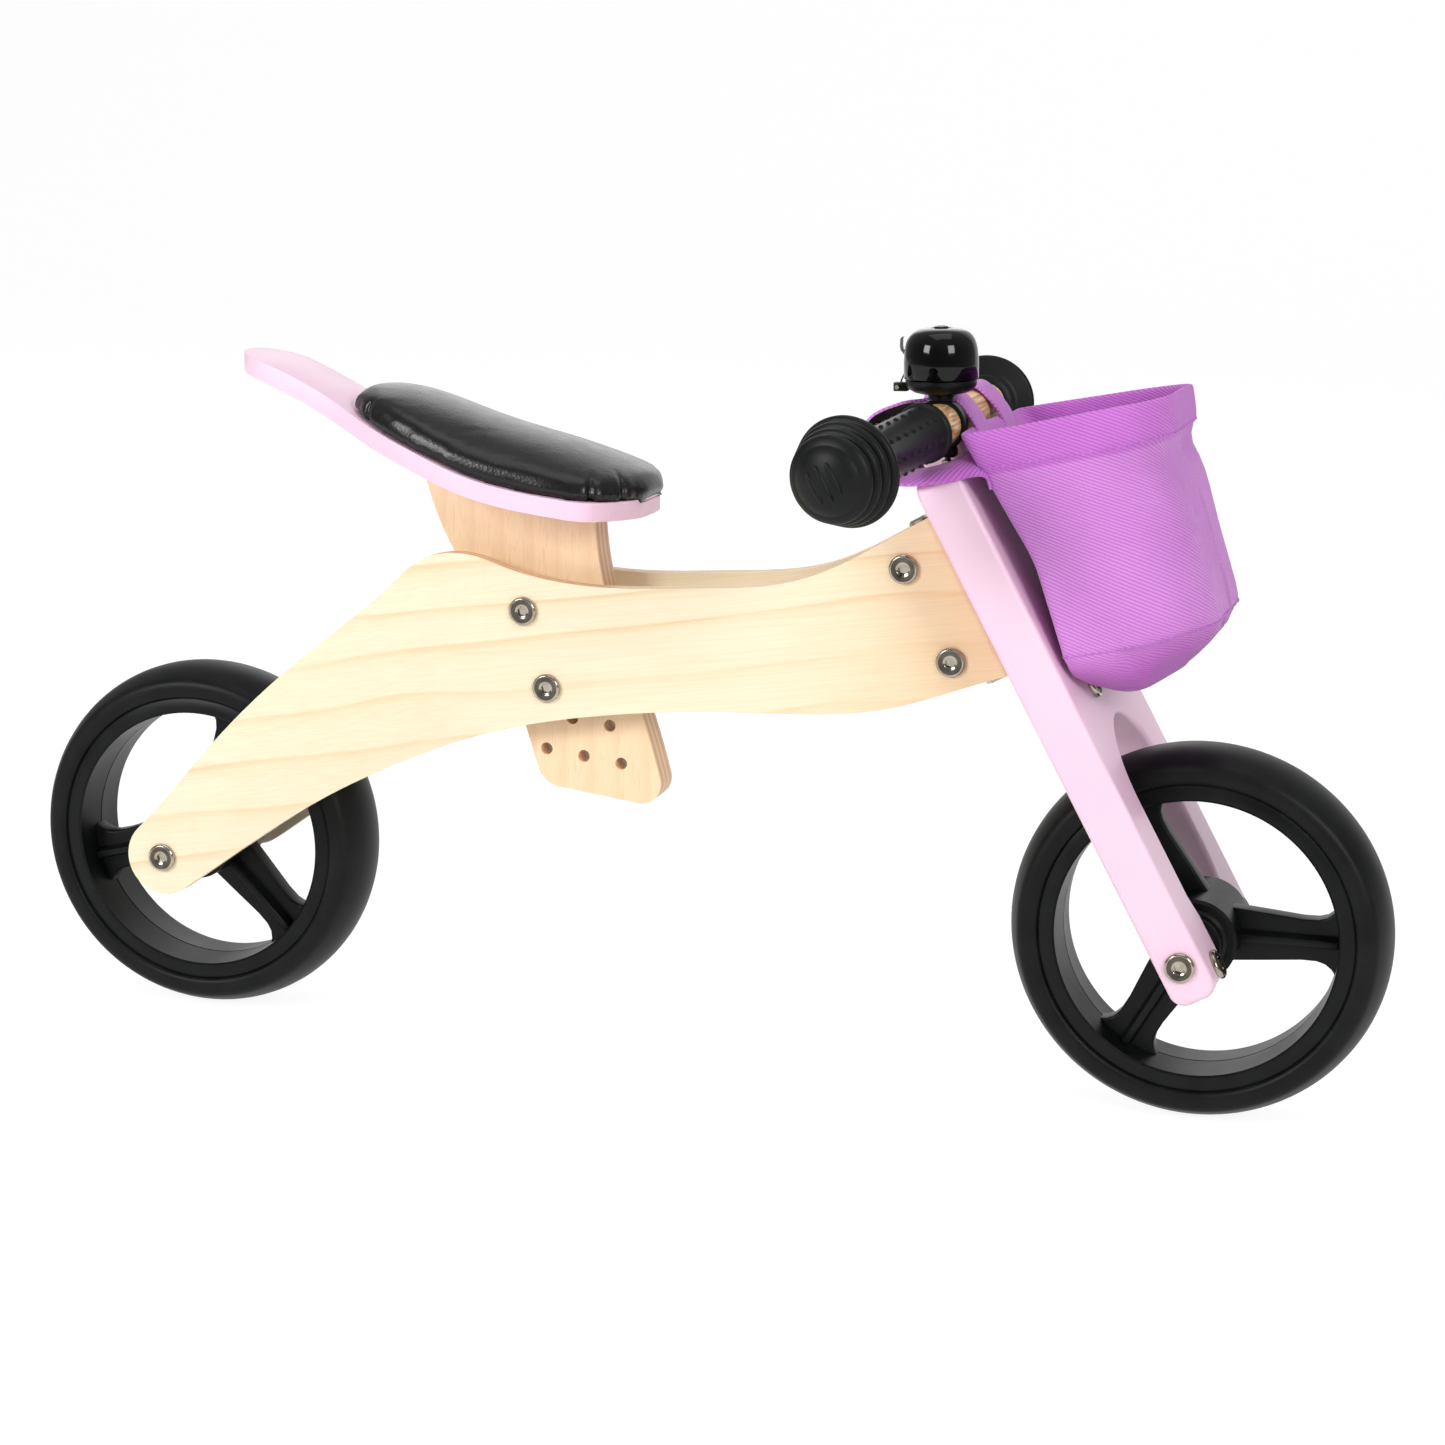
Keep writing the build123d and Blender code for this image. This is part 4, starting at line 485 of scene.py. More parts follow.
def block(bm, size, place, bevel=0.4, narrow_side=0, share=1.0):
    """Box of a size in millimetres, its edges eased, placed by a matrix; one Y side is narrowed to a share."""
    made = bmesh.ops.create_cube(bm, size=1.0)["verts"]
    bmesh.ops.scale(bm, vec=Vector(size) * MM, verts=made)
    for vert in made:
        if vert.co.y * narrow_side > 0:
            vert.co.z *= share
    whole = eased(bm, made, [edge for vert in made for edge in vert.link_edges], bevel)
    bmesh.ops.transform(bm, matrix=place, verts=whole)


# Carried-over solids: finishes and eased edges

# Finish, eased edge in millimetres and nodes
DRESSED = [
    ("birch_plywood", 1.0, ["side_panel_right", "side_panel_left"]),
    ("beech_board", 0.9, ["seat_post", "head_block"]),
    ("beech_rod", 0.0, ["handlebar", "handlebar_dowels"]),
    ("satin_paint", 1.6, ["seat_board"]),
    ("satin_paint", 0.0, ["fork"]),
    ("black_steel", 0.6, ["bracket_upper", "bracket_lower"]),
    ("nickel_steel", 0.0, ["rear_axle", "front_axle", "steering_pin", "steering_nut", "seat_board_screws",
                           "striker_pin"]),
    ("black_nylon", 0.0, ["steering_bushes", "seat_post_spacers", "rear_axle_spacers", "front_bushes", "rear_bushes"]),
]


class BIKE_OT_dress_solids(bpy.types.Operator):
    """Give the carried-over solids their finishes and eased edges"""

    bl_idname = "bike.dress_solids"
    bl_label = "Dress the solids"

    def execute(self, context):
        for looks, ease, names in DRESSED:
            for name in names:
                solid = NODES[name]
                solid.data.materials.clear()
                solid.data.materials.append(finish(looks))
                if ease:
                    weld = solid.modifiers.new("Weld", "WELD")
                    weld.merge_threshold = 0.00001
                    flat = solid.modifiers.new("Whole faces", "DECIMATE")
                    flat.decimate_type = "DISSOLVE"
                    flat.angle_limit = radians(1.0)
                    round_edges(solid, ease, 3)
        return {"FINISHED"}


# Wheels

# Name, axle, angle of the first spoke and body
WHEELS = [("front", FRONT_AXLE, 1.0, "front_wheel"), ("rear", REAR_AXLE, 195.0, "rear_wheel")]


class BIKE_OT_tyres(bpy.types.Operator):
    """Spin the two foam tyres with their bead groove, shoulder and crown"""

    bl_idname = "bike.tyres"
    bl_label = "Tyres"

    def execute(self, context):
        s = sizes()
        half, crown, bead = s.tyre_half / MM, s.tyre_radius / MM, s.bead_radius / MM
        drop, inset = 6.6, 1.2
        shoulder = crown - drop
        ball = ((half - inset) ** 2 + drop ** 2) / (2 * drop)
        side = [(half - 1.7, bead + 0.02), (half - 0.5, bead + 1.0), (half, bead + 2.4), (half, bead + 6.0),
                (half - 0.35, shoulder - 1.7), (half - inset, shoulder)]
        tread = [(y, crown - ball + sqrt(ball * ball - y * y)) for y in (18.6, 16, 13, 10, 7, 3.5, 0)]
        right = side + tread
        profile = right + [(-y, r) for y, r in reversed(right[:-1])]
        for wheel, axle, _, body in WHEELS:
            bm = bmesh.new()
            lathe(bm, profile, axle, ACROSS, steps=144, closed=True)
            add_piece(wheel + "_tyre_skin", bm, body, [wheel + "_tyre"], "foam_tyre", sharp=50)
        return {"FINISHED"}


SPOKES, SPOKE_THICK = 3, 10.0
# Half outline of a spoke: distance from the axle and half width, millimetres
SPOKE_EDGE = [(12, 13.2), (30, 11.6), (48, 9.9), (55.0, 10.0), (59.0, 11.2), (62.0, 13.6), (64.0, 16.6), (65.4, 20.0),
              (67.5, 21.0)]
# Rib on each face of a spoke: size and place in millimetres, and share of its width left at its outer side
RIB_SIZE, RIB_AT, RIB_SHARE = (52.5, 7.0, 6.4), (39.0, 7.5), 0.55


class BIKE_OT_rims(bpy.types.Operator):
    """Build the moulded rims: band, drafted barrel, three ribbed spokes and a stepped hub"""

    bl_idname = "bike.rims"
    bl_label = "Rims"

    def execute(self, context):
        s = sizes()
        bead, inner, half = s.bead_radius / MM, s.rim_inner / MM, s.rim_half / MM
        band = [(half - 0.6, bead), (half, bead - 0.9), (half, inner + 1.4), (half - 0.9, inner + 0.45),
                (0.5, inner - 0.55), (0.15, inner - 0.25)]
        band = band + [(-y, r) for y, r in reversed(band)]
        hub = [(30.5, 8.02), (30.5, 13.3), (29.8, 14.0), (24.2, 14.0), (23.0, 15.4), (23.0, 18.6), (21.6, 20.0)]
        hub = hub + [(-y, r) for y, r in reversed(hub)]
        for wheel, axle, first, body in WHEELS:
            bm = bmesh.new()
            lathe(bm, band, axle, ACROSS, steps=144, closed=True)
            lathe(bm, hub, axle, ACROSS, steps=72, closed=True)
            for spoke in range(SPOKES):
                turn = Matrix.Translation(axle) @ Matrix.Rotation(-radians(first + 360 / SPOKES * spoke), 4, "Y")
                outline = SPOKE_EDGE + [(u, -v) for u, v in reversed(SPOKE_EDGE)]
                flat = bm.faces.new([bm.verts.new((u * MM, -SPOKE_THICK / 2 * MM, v * MM)) for u, v in outline])
                tops = new_verts(bmesh.ops.extrude_face_region(bm, geom=[flat]))
                bmesh.ops.translate(bm, vec=(0, SPOKE_THICK * MM, 0), verts=tops)
                plate = list(flat.verts) + tops
                rims = [e for v in plate for e in v.link_edges if abs(e.verts[0].co.y - e.verts[1].co.y) < 1e-7]
                bmesh.ops.transform(bm, matrix=turn, verts=eased(bm, plate, rims, 1.1, segments=3))
                for facing in (-1, 1):
                    rib = Matrix.Translation((RIB_AT[0] * MM, facing * RIB_AT[1] * MM, 0))
                    block(bm, RIB_SIZE, turn @ rib, bevel=0.7, narrow_side=facing, share=RIB_SHARE)
            add_piece(wheel + "_rim_moulding", bm, body, [wheel + "_rim"], "rim_plastic", sharp=40)
        return {"FINISHED"}


# Connector bolts


def bolt(bm, seat, out, shank):
    """Flat-headed bolt on a seat: eased rim, shallow dish and a hexagon socket; the shank runs back from the seat."""
    s = sizes()
    radius, high, corner = s.bolt_radius / MM, s.bolt_height / MM, s.socket_radius / MM
    before = set(bm.verts)
    profile = [(-shank, 0.0), (-shank, 3.0), (0.0, 3.0), (0.0, radius - 0.3), (0.25, radius), (high - 0.95, radius),
               (high - 0.7, radius - 0.08), (high - 0.12, radius - 0.66), (high, radius - 0.95),
               (high - 0.02, radius - 1.25), (high - 0.18, radius - 1.45), (high - 0.18, corner + 1.0),
               (high - 0.28, corner + 0.75), (high - 0.6, corner + 0.3)]
    lathe(bm, profile, seat, out, steps=48)
    fresh = [v for v in bm.verts if v not in before]
    rim = [e for v in fresh for e in v.link_edges if e.is_boundary]
    rim = [e for e in set(rim) if (e.verts[0].co - seat).dot(out) > 0.5 * MM]
    grown = bmesh.ops.extrude_edge_only(bm, edges=rim)
    ring = new_verts(grown)
    side = out.orthogonal().normalized()
    other = out.cross(side)
    flat = corner * cos(pi / 6)
    for vert in ring:
        arm = vert.co - seat
        turn = (Vector((arm.dot(side), arm.dot(other))).angle_signed(Vector((1, 0))) + tau) % (pi / 3) - pi / 6
        reach = flat / cos(turn) * MM
        flatwise = arm - out * arm.dot(out)
        vert.co = seat + out * ((high - 0.7) * MM) + flatwise.normalized() * reach
    edges = [item for item in grown["geom"] if isinstance(item, bmesh.types.BMEdge) and item.is_boundary]
    deep = bmesh.ops.extrude_edge_only(bm, edges=edges)
    bmesh.ops.translate(bm, vec=out * (-1.2 * MM), verts=new_verts(deep))
    floor = [item for item in deep["geom"] if isinstance(item, bmesh.types.BMEdge) and item.is_boundary]
    bmesh.ops.edgeloop_fill(bm, edges=floor)
    # The ring floor round the socket takes the second finish, painted darker as a reflection of the dark room
    for face in set(f for v in bm.verts if v not in before for f in v.link_faces):
        arm = face.calc_center_median() - seat
        reach = (arm - out * arm.dot(out)).length / MM
        if arm.dot(out) > (high - 0.3) * MM and corner + 0.9 < reach < radius - 1.3:
            face.material_index = 1


# Cross bolts: node, body, half the distance between the two heads' seats, and shank length, millimetres
CROSS_BOLTS = [("head_block_bolts", "frame", 28.5, 28.5), ("seat_post_bolts", "frame", 28.5, 28.5),
               ("rear_axle_bolts", "frame", 57.0, 20.0), ("front_axle_bolts", "fork_assembly", 65.8, 20.0)]


def add_bolts(name, bm, body):
    """Plated bolts as one piece, with their ring floors in a second finish painted darker as a painted reflection of
    the dark room.
    """
    plated = add_piece(name + "_plated", bm, body, [name], "nickel_steel", sharp=30)
    plated.data.materials.append(finish("nickel_painted_shade"))


def node_heads(name, axis):
    """Middles of a bolt node's separate shanks, seen along an axis."""
    heads = []
    for vert in NODES[name].data.vertices:
        flat = vert.co - axis * vert.co.dot(axis)
        for head in heads:
            if (head["at"] - flat).length < 0.012:
                head["low"] = Vector([min(a, b) for a, b in zip(head["low"], flat)])
                head["high"] = Vector([max(a, b) for a, b in zip(head["high"], flat)])
                head["at"] = (head["low"] + head["high"]) / 2
                break
        else:
            heads.append({"at": flat, "low": flat.copy(), "high": flat.copy()})
    return [head["at"] for head in heads]


class BIKE_OT_bolts(bpy.types.Operator):
    """Model the plated connector bolts with their hexagon sockets"""

    bl_idname = "bike.bolts"
    bl_label = "Connector bolts"

    def execute(self, context):
        high = sizes().bolt_height
        for name, body, half, shank in CROSS_BOLTS:
            bm = bmesh.new()
            for place in node_heads(name, ACROSS):
                for facing in (-1, 1):
                    bolt(bm, place + ACROSS * (facing * half * MM), ACROSS * facing, shank)
            add_bolts(name, bm, body)
        for name, shank in (("leg_bolts", 20.0), ("bracket_bolts", 26.0)):
            bm = bmesh.new()
            front = max(v.co.dot(OFF_FORK) for v in NODES[name].data.vertices)
            for place in node_heads(name, OFF_FORK):
                bolt(bm, place + OFF_FORK * (front - high), OFF_FORK.copy(), shank)
            add_bolts(name, bm, "fork_assembly")
        return {"FINISHED"}


# Grips

# Bar: up the fork, off its plane, half its straight middle and the sweep of its ends in degrees
BAR_ALONG, BAR_NORMAL, BAR_FLAT, BAR_SWEEP = 267.0, 8.0, 50.6, 12.6


class BIKE_OT_grips(bpy.types.Operator):
    """Build the rubber grips: flange, sleeve with rows of studs, ringed bumper and ribbed dome"""

    bl_idname = "bike.grips"
    bl_label = "Grips"

    def execute(self, context):
        s = sizes()
        sleeve, bumper = s.grip_radius / MM, s.bumper_radius / MM
        lean_s, lean_c = sin(radians(BAR_SWEEP)), cos(radians(BAR_SWEEP))
        for name, side in (("grip_right", -1), ("grip_left", 1)):
            root = fork_point(BAR_ALONG, BAR_NORMAL, side * BAR_FLAT)
            way = (ACROSS * (side * lean_c) - OFF_FORK * lean_s).normalized()
            profile = [(13.0, 10.05), (13.0, 13.2), (13.6, 13.8), (15.4, 13.8), (16.0, 13.4), (16.5, 12.8),
                       (17.2, sleeve), (88.5, sleeve), (90.2, sleeve + 1.0), (91.0, sleeve + 4.0), (91.2, bumper - 2.0)]
            for ring in range(4):
                at, wide = 91.0 + 5.0 * ring, bumper - 1.7 * ring
                profile += [(at + 0.5, wide - 0.9), (at + 1.5, wide - 0.1), (at + 2.6, wide), (at + 3.7, wide - 0.35),
                            (at + 4.4, wide - 1.2)]
                if ring < 3:
                    profile += [(at + 4.7, wide - 2.5)]
            # Dome: a ball cap past the last ring, with a shallow ring step
            last_s, last_r = profile[-1]
            tip = 116.9
            rise = tip - last_s
            ball = (last_r * last_r + rise * rise) / (2 * rise)
            for r in (16.4, 15.6, 15.2, 14.4, 11.5, 8.5, 5.5, 2.5, 0.0):
                dip = 0.4 if r in (15.6, 15.2) else 0.0
                profile.append((tip - ball + sqrt(ball * ball - r * r) - dip, r))
            bm = bmesh.new()
            lathe(bm, profile, root, way, steps=96)
            level = (UP_FORK - way * UP_FORK.dot(way)).normalized()
            sideways = way.cross(level)
            # Studs 2.5 mm across in eight rows along the sleeve
            for row in range(8):
                turn = tau * (row + 0.3) / 8
                out = level * cos(turn) + sideways * sin(turn)
                for stud in range(9):
                    at = root + way * ((22.0 + 7.6 * stud) * MM) + out * ((sleeve - 0.2) * MM)
                    made = bmesh.ops.create_icosphere(bm, subdivisions=2, radius=1.25 * MM)["verts"]
                    bmesh.ops.translate(bm, vec=at, verts=made)
            # Three raised ribs on the dome
            for rib, tall in ((-1, 7.6), (0, 8.6), (1, 7.6)):
                made = bmesh.ops.create_uvsphere(bm, u_segments=20, v_segments=12, radius=MM)["verts"]
                bmesh.ops.scale(bm, vec=(1.5, 1.5, tall), verts=made)
                across_dome = rib * 5.2
                sink = tip - ball + sqrt(ball * ball - across_dome * across_dome)
                turn = Matrix((sideways, way, level)).transposed().to_4x4()
                place = root + way * ((sink - 0.75) * MM) + sideways * (across_dome * MM)
                bmesh.ops.transform(bm, matrix=Matrix.Translation(place) @ turn, verts=made)
            add_piece(name + "_moulding", bm, "fork_assembly", [name], "grip_rubber", sharp=50)
        return {"FINISHED"}


# Bell

# Bell's place across in millimetres and its lean in degrees
BELL_Y, BELL_LEAN = -41.0, 2.0
# Dome from its skirt to its crown, and the striker's pin behind the bell's axis, millimetres
SKIRT, DOME_RISE, CROWN_R = 21.0, 22.8, 4.6
PIN_BEHIND, PIN_UP, ARM_ASIDE = -19.7, 17.0, 4.5
# Striker's arm from its knuckle to its thumb tab: ahead, up and half width
STRIKER_ARM = [(-20.2, 17.5, 2.0), (-19.4, 20.0, 2.0), (-18.2, 22.5, 1.9), (-17.8, 25.0, 1.9), (-17.8, 31.0, 1.9),
               (-18.2, 32.0, 2.9), (-19.2, 33.4, 3.2), (-19.5, 35.0, 3.2), (-19.4, 38.4, 3.1), (-18.7, 39.2, 2.4)]


class BIKE_OT_bell(bpy.types.Operator):
    """Spin the bell's dome, bowl and slotted screw, and add its striker and clamp"""

    bl_idname = "bike.bell"
    bl_label = "Bell"

    def execute(self, context):
        radius = sizes().bell_radius / MM
        lean = radians(BELL_LEAN)
        root = fork_point(BAR_ALONG, BAR_NORMAL, BELL_Y)
        up = Vector((-sin(lean), 0, cos(lean)))
        # Dome: a squarish curve, the fourth powers of its two shares adding up to one
        outer = [(SKIRT, radius - 0.35), (SKIRT + 0.3, radius)]
        for share in (0.30, 0.45, 0.58, 0.68, 0.77, 0.84, 0.90, 0.945, 0.975, 0.992, 1.0):
            reach = radius * (1 - share ** 4) ** (1 / 4) if share < 1 else CROWN_R
            outer += [(SKIRT + DOME_RISE * share, reach)] if reach >= CROWN_R else []
        dish = [(43.5, 4.2), (43.0, 3.9), (43.0, 1.55), (41.8, 1.55)]
        inner = [(s - 1.3, max(r - 1.4, 1.55)) for s, r in reversed(outer[2:])] + [(SKIRT, radius - 1.4)]
        bm = bmesh.new()
        lathe(bm, outer + dish + inner, root, up, steps=96, closed=True)
        add_piece("bell_dome_enamel", bm, "fork_assembly", ["bell_dome"], "bell_enamel", sharp=50)
        bowl = [(13.25, 0.0), (13.25, 5.5), (14.0, 5.6), (14.2, 9.5), (14.9, 12.2), (16.2, 14.6), (17.8, 15.9),
                (19.2, 16.3), (20.4, 16.2), (20.4, 14.6), (18.0, 13.6), (16.2, 10.0), (16.0, 3.2), (41.4, 3.2),
                (41.4, 1.6), (34.0, 1.6), (34.0, 0.0)]
        bm = bmesh.new()
        lathe(bm, bowl, root, up, steps=96)
        ahead = Vector((cos(lean), 0, sin(lean)))
        hinge = Matrix((ahead, ACROSS, up)).transposed().to_4x4()
        block(bm, (6.6, 4.0, 4.0), Matrix.Translation(root + ahead * (-18.6 * MM) + up * (PIN_UP * MM)) @ hinge)
        add_piece("bell_bowl_moulding", bm, "fork_assembly", ["bell_bowl"], "rim_plastic", sharp=40)
        self.clamp(root, up, ahead, hinge)
        self.striker(root, up, ahead)
        screw = [(35.8, 0.0), (35.8, 1.5), (43.1, 1.5), (43.1, 3.4), (43.9, 3.4), (44.4, 3.0), (44.7, 1.6), (44.8, 0.0)]
        bm = bmesh.new()
        lathe(bm, screw, root, up, steps=48)
        cut = [f for f in bm.faces if (f.calc_center_median() - root).dot(up) > 44.3 * MM
               and abs((f.calc_center_median() - root).dot(ACROSS)) < 0.55 * MM]
        sunk = new_verts(bmesh.ops.extrude_face_region(bm, geom=cut))
        bmesh.ops.translate(bm, vec=up * (-0.7 * MM), verts=sunk)
        bmesh.ops.delete(bm, geom=cut, context="FACES")
        add_piece("bell_screw_enamel", bm, "fork_assembly", ["bell_dome_screw"], "bell_enamel", sharp=30)
        return {"FINISHED"}

    @staticmethod
    def striker(root, up, ahead):
        """Sprung lever that lies close behind the dome: knuckle, narrow arm and thumb tab."""
        bm = bmesh.new()
        knuckle = [(-2.6, 1.05), (-2.6, 1.9), (2.6, 1.9), (2.6, 1.05)]
        pin = root + ahead * (PIN_BEHIND * MM) + up * (PIN_UP * MM)
        lathe(bm, knuckle, pin + ACROSS * (2.0 * MM), ACROSS, steps=24, closed=True)
        rows = [[bm.verts.new(root + ahead * (x * MM) + up * (z * MM) + ACROSS * ((ARM_ASIDE + side * half) * MM))
                 for side in (-1, 1)] for x, z, half in STRIKER_ARM]
        strip = [bm.faces.new((low[0], low[1], high[1], high[0])) for low, high in zip(rows, rows[1:])]
        bmesh.ops.solidify(bm, geom=strip, thickness=1.1 * MM)
        add_piece("bell_striker_lever", bm, "striker", ["bell_striker"], "rim_plastic", sharp=40,
                  edge=0.25)

    @staticmethod
    def clamp(root, up, ahead, hinge):
        """Thin band round the bar, its neck under the bowl, and the plated screw and nut below."""
        bm = bmesh.new()
        band = [(-4.2, 10.1), (-4.2, 11.3), (-3.6, 11.8), (3.6, 11.8), (4.2, 11.3), (4.2, 10.1)]
        lathe(bm, band, root, ACROSS, steps=64, closed=True)
        neck = [(9.5, 0.0), (9.5, 5.6), (10.8, 6.0), (11.2, 5.3), (12.0, 5.3), (12.3, 6.0), (13.3, 6.0), (13.3, 0.0)]
        lathe(bm, neck, root, up, steps=48)
        block(bm, (8.6, 8.4, 5.0), Matrix.Translation(root + up * (9.6 * MM)) @ hinge, bevel=0.8)
        block(bm, (8.0, 8.0, 4.6), Matrix.Translation(root + ahead * (3.0 * MM) - up * (12.2 * MM)) @ hinge, bevel=0.8)
        add_piece("bell_clamp_moulding", bm, "fork_assembly", ["bell_clamp"], "rim_plastic", sharp=35)
        bm = bmesh.new()
        foot = root + ahead * (3.0 * MM)
        rod = [(-13.9, 0.0), (-13.9, 1.5)]
        for thread in range(5):
            rod += [(-14.3 - 0.6 * thread, 1.25), (-14.6 - 0.6 * thread, 1.5)]
        rod += [(-17.2, 1.4), (-17.2, 0.0)]
        lathe(bm, rod, foot, up, steps=32)
        nut = [(-16.0, 1.2), (-16.0, 2.5), (-16.3, 3.2), (-16.65, 3.2), (-18.3, 3.2), (-18.65, 2.8), (-18.65, 0.0)]
        lathe(bm, nut, foot, up, steps=6)
        add_piece("bell_clamp_screw_plated", bm, "fork_assembly", ["bell_clamp_screw"], "nickel_steel",
                  sharp=25)


# Seat pad

# Pleats: middle of their curve and their place behind the pad's front end, place across and depth, millimetres
PAD_PLEATS = [(32.0, 20.5, 41.5, 1.6), (32.0, 8.6, 28.0, 1.4), (100.0, 138.0, 29.0, 1.4)]
# Share of the solid's plan that the cover starts from, its voxel and its slices in metres, steps of the swelling
PAD_SHRINK, PAD_VOXEL, PAD_SLICE, SWELL_FRAMES = 0.985, 0.0032, 0.004, 20
PAD_CLOTH = {"quality": 6, "use_pressure": True, "uniform_pressure_force": 4.0, "tension_stiffness": 20.0,
             "compression_stiffness": 20.0, "bending_stiffness": 2.0, "vertex_group_mass": "base"}


def smooth_step(low, high, value):
    """Zero below low, one above high and an even curve between."""
    share = min(1.0, max(0.0, (value - low) / (high - low)))
    return share * share * (3 - 2 * share)


def swell(value, middle, reach):
    """One at the middle, falling away over the reach."""
    return exp(-((value - middle) / reach) ** 2)


class BIKE_OT_seat_pad(bpy.types.Operator):
    """Swell the seat pad's cover over its foam, then gather it at the front corners"""

    bl_idname = "bike.seat_pad"
    bl_label = "Seat pad"

    def execute(self, context):
        scene = context.scene
        bm = bmesh.new()
        bm.from_mesh(NODES["seat_pad"].data)
        bmesh.ops.remove_doubles(bm, verts=bm.verts, dist=0.00001)
        low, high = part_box("seat_pad")
        middle = (low + high) / 2
        for vert in bm.verts:
            arm = vert.co - middle
            vert.co = middle + Vector((arm.x * PAD_SHRINK, arm.y * PAD_SHRINK, arm.z))
        pad = add_piece("seat_pad_cover", bm, "frame", ["seat_pad"], "coated_leather", sharp=180)
        remesh = pad.modifiers.new("Remesh", "REMESH")
        remesh.mode = "VOXEL"
        remesh.voxel_size = PAD_VOXEL
        remesh.use_smooth_shade = True
        self.apply(context, pad)
        self.ease(pad)
        rest = [vert.co.copy() for vert in pad.data.vertices]
        base = pad.vertex_groups.new(name="base")
        under = [vert.index for vert in pad.data.vertices if vert.normal.z < -0.35]
        base.add(under, 1.0, "REPLACE")
        cloth = pad.modifiers.new("Swell", "CLOTH")
        for key, value in PAD_CLOTH.items():
            setattr(cloth.settings, key, value)
        cloth.settings.effector_weights.gravity = 0.0
        cloth.point_cache.frame_start = 1
        cloth.point_cache.frame_end = SWELL_FRAMES
        for step in range(1, SWELL_FRAMES + 1):
            scene.frame_set(step)
        self.apply(context, pad)
        scene.frame_set(1)
        cap = sizes().pad_rise
        for vert, start in zip(pad.data.vertices, rest):
            move = vert.co - start
            if move.length > cap:
                vert.co = start + move.normalized() * cap
        finer = pad.modifiers.new("Finer", "SUBSURF")
        finer.levels = 2
        finer.render_levels = 2
        self.apply(context, pad)
        self.gather(pad)
        pad.data.polygons.foreach_set("use_smooth", [True] * len(pad.data.polygons))
        return {"FINISHED"}

    @staticmethod
    def apply(context, pad):
        """Bake the pad's modifiers into its mesh."""
        context.view_layer.update()
        graph = context.evaluated_depsgraph_get()
        shaped = bpy.data.meshes.new_from_object(pad.evaluated_get(graph))
        old = pad.data
        pad.modifiers.clear()
        pad.data = shaped
        if not shaped.materials:
            shaped.materials.append(finish("coated_leather"))
        bpy.data.meshes.remove(old)

    @staticmethod
    def heights(spots):
        """Height of each point above the pad's lowest point at the same distance along the bike."""
        lowest = {}
        for spot in spots:
            key = round(spot.x / PAD_SLICE)
            lowest[key] = min(lowest.get(key, 9.0), spot.z)
        return [spot.z - lowest[round(spot.x / PAD_SLICE)] for spot in spots]

    @classmethod
    def ease(cls, pad):
        """Round the cover's shoulders and leave its seat as it is."""
        bm = bmesh.new()
        bm.from_mesh(pad.data)
        old = [vert.co.copy() for vert in bm.verts]
        for _ in range(6):
            bmesh.ops.smooth_vert(bm, verts=bm.verts, factor=0.5, use_axis_x=True, use_axis_y=True, use_axis_z=True)
        for vert, start, rise in zip(bm.verts, old, cls.heights(old)):
            vert.co = start.lerp(vert.co, smooth_step(0.002, 0.008, rise))
        bm.to_mesh(pad.data)
        bm.free()

    @classmethod
    def gather(cls, pad):
        """Tuck the cover's lower edge in, with pleats round the nose and one at each rear corner."""
        spots = [vert.co.copy() for vert in pad.data.vertices]
        ways = [vert.normal.copy() for vert in pad.data.vertices]
        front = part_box("seat_pad")[1].x
        pleats = []
        for centre, behind, across, depth in PAD_PLEATS:
            arm = Vector((centre - behind, across)).normalized()
            pleats.append((Vector((front - behind * MM, across * MM)), arm, Vector((-arm.y, arm.x)), depth * MM))
        for spot, way, rise in zip(spots, ways, cls.heights(spots)):
            out = Vector((way.x, way.y, 0))
            if out.length < 0.25:
                continue
            # The lowest 4.5 mm tucks in by 1.2 mm, and the pleats fade out between 8.5 and 15 mm up
            move = -0.0012 * (1 - smooth_step(0.0, 0.0045, rise))
            fade = 1 - smooth_step(0.0085, 0.0150, rise)
            flat = Vector((spot.x, abs(spot.y)))
            for place, arm, aside, depth in pleats:
                if abs((flat - place).dot(arm)) < 0.012:
                    here = (flat - place).dot(aside)
                    move += depth * fade * (0.25 * swell(here, 0.0042, 0.0026) + 0.25 * swell(here, -0.0042, 0.0026)
                                            - swell(here, 0.0, 0.0013))
            spot += out.normalized() * move
        pad.data.vertices.foreach_set("co", [value for spot in spots for value in spot])
        pad.data.update()


# Bag and straps

BAG_AT = fork_point(144.0, 11.9)
BAG_TILT = radians(12.0)
BAG_AHEAD = Vector((cos(BAG_TILT), 0, sin(BAG_TILT)))
BAG_UP = Vector((-sin(BAG_TILT), 0, cos(BAG_TILT)))
# Level, back, front, half width and front corner radius of the cloth, millimetres
BAG_SECTIONS = [
    (114.0, -27.7, 61.6, 64.0, 40.0),
    (86.2, -18.0, 60.6, 63.8, 40.0),
    (50.4, -4.5, 65.2, 63.4, 41.0),
    (12.3, 0.4, 69.4, 62.4, 40.0),
    (2.0, 1.0, 68.6, 60.4, 38.0),
    (-4.5, 2.6, 65.0, 55.0, 33.0),
    (-10.0, 7.0, 57.5, 46.0, 25.0),
    (-14.0, 14.0, 49.0, 35.0, 18.0),
]
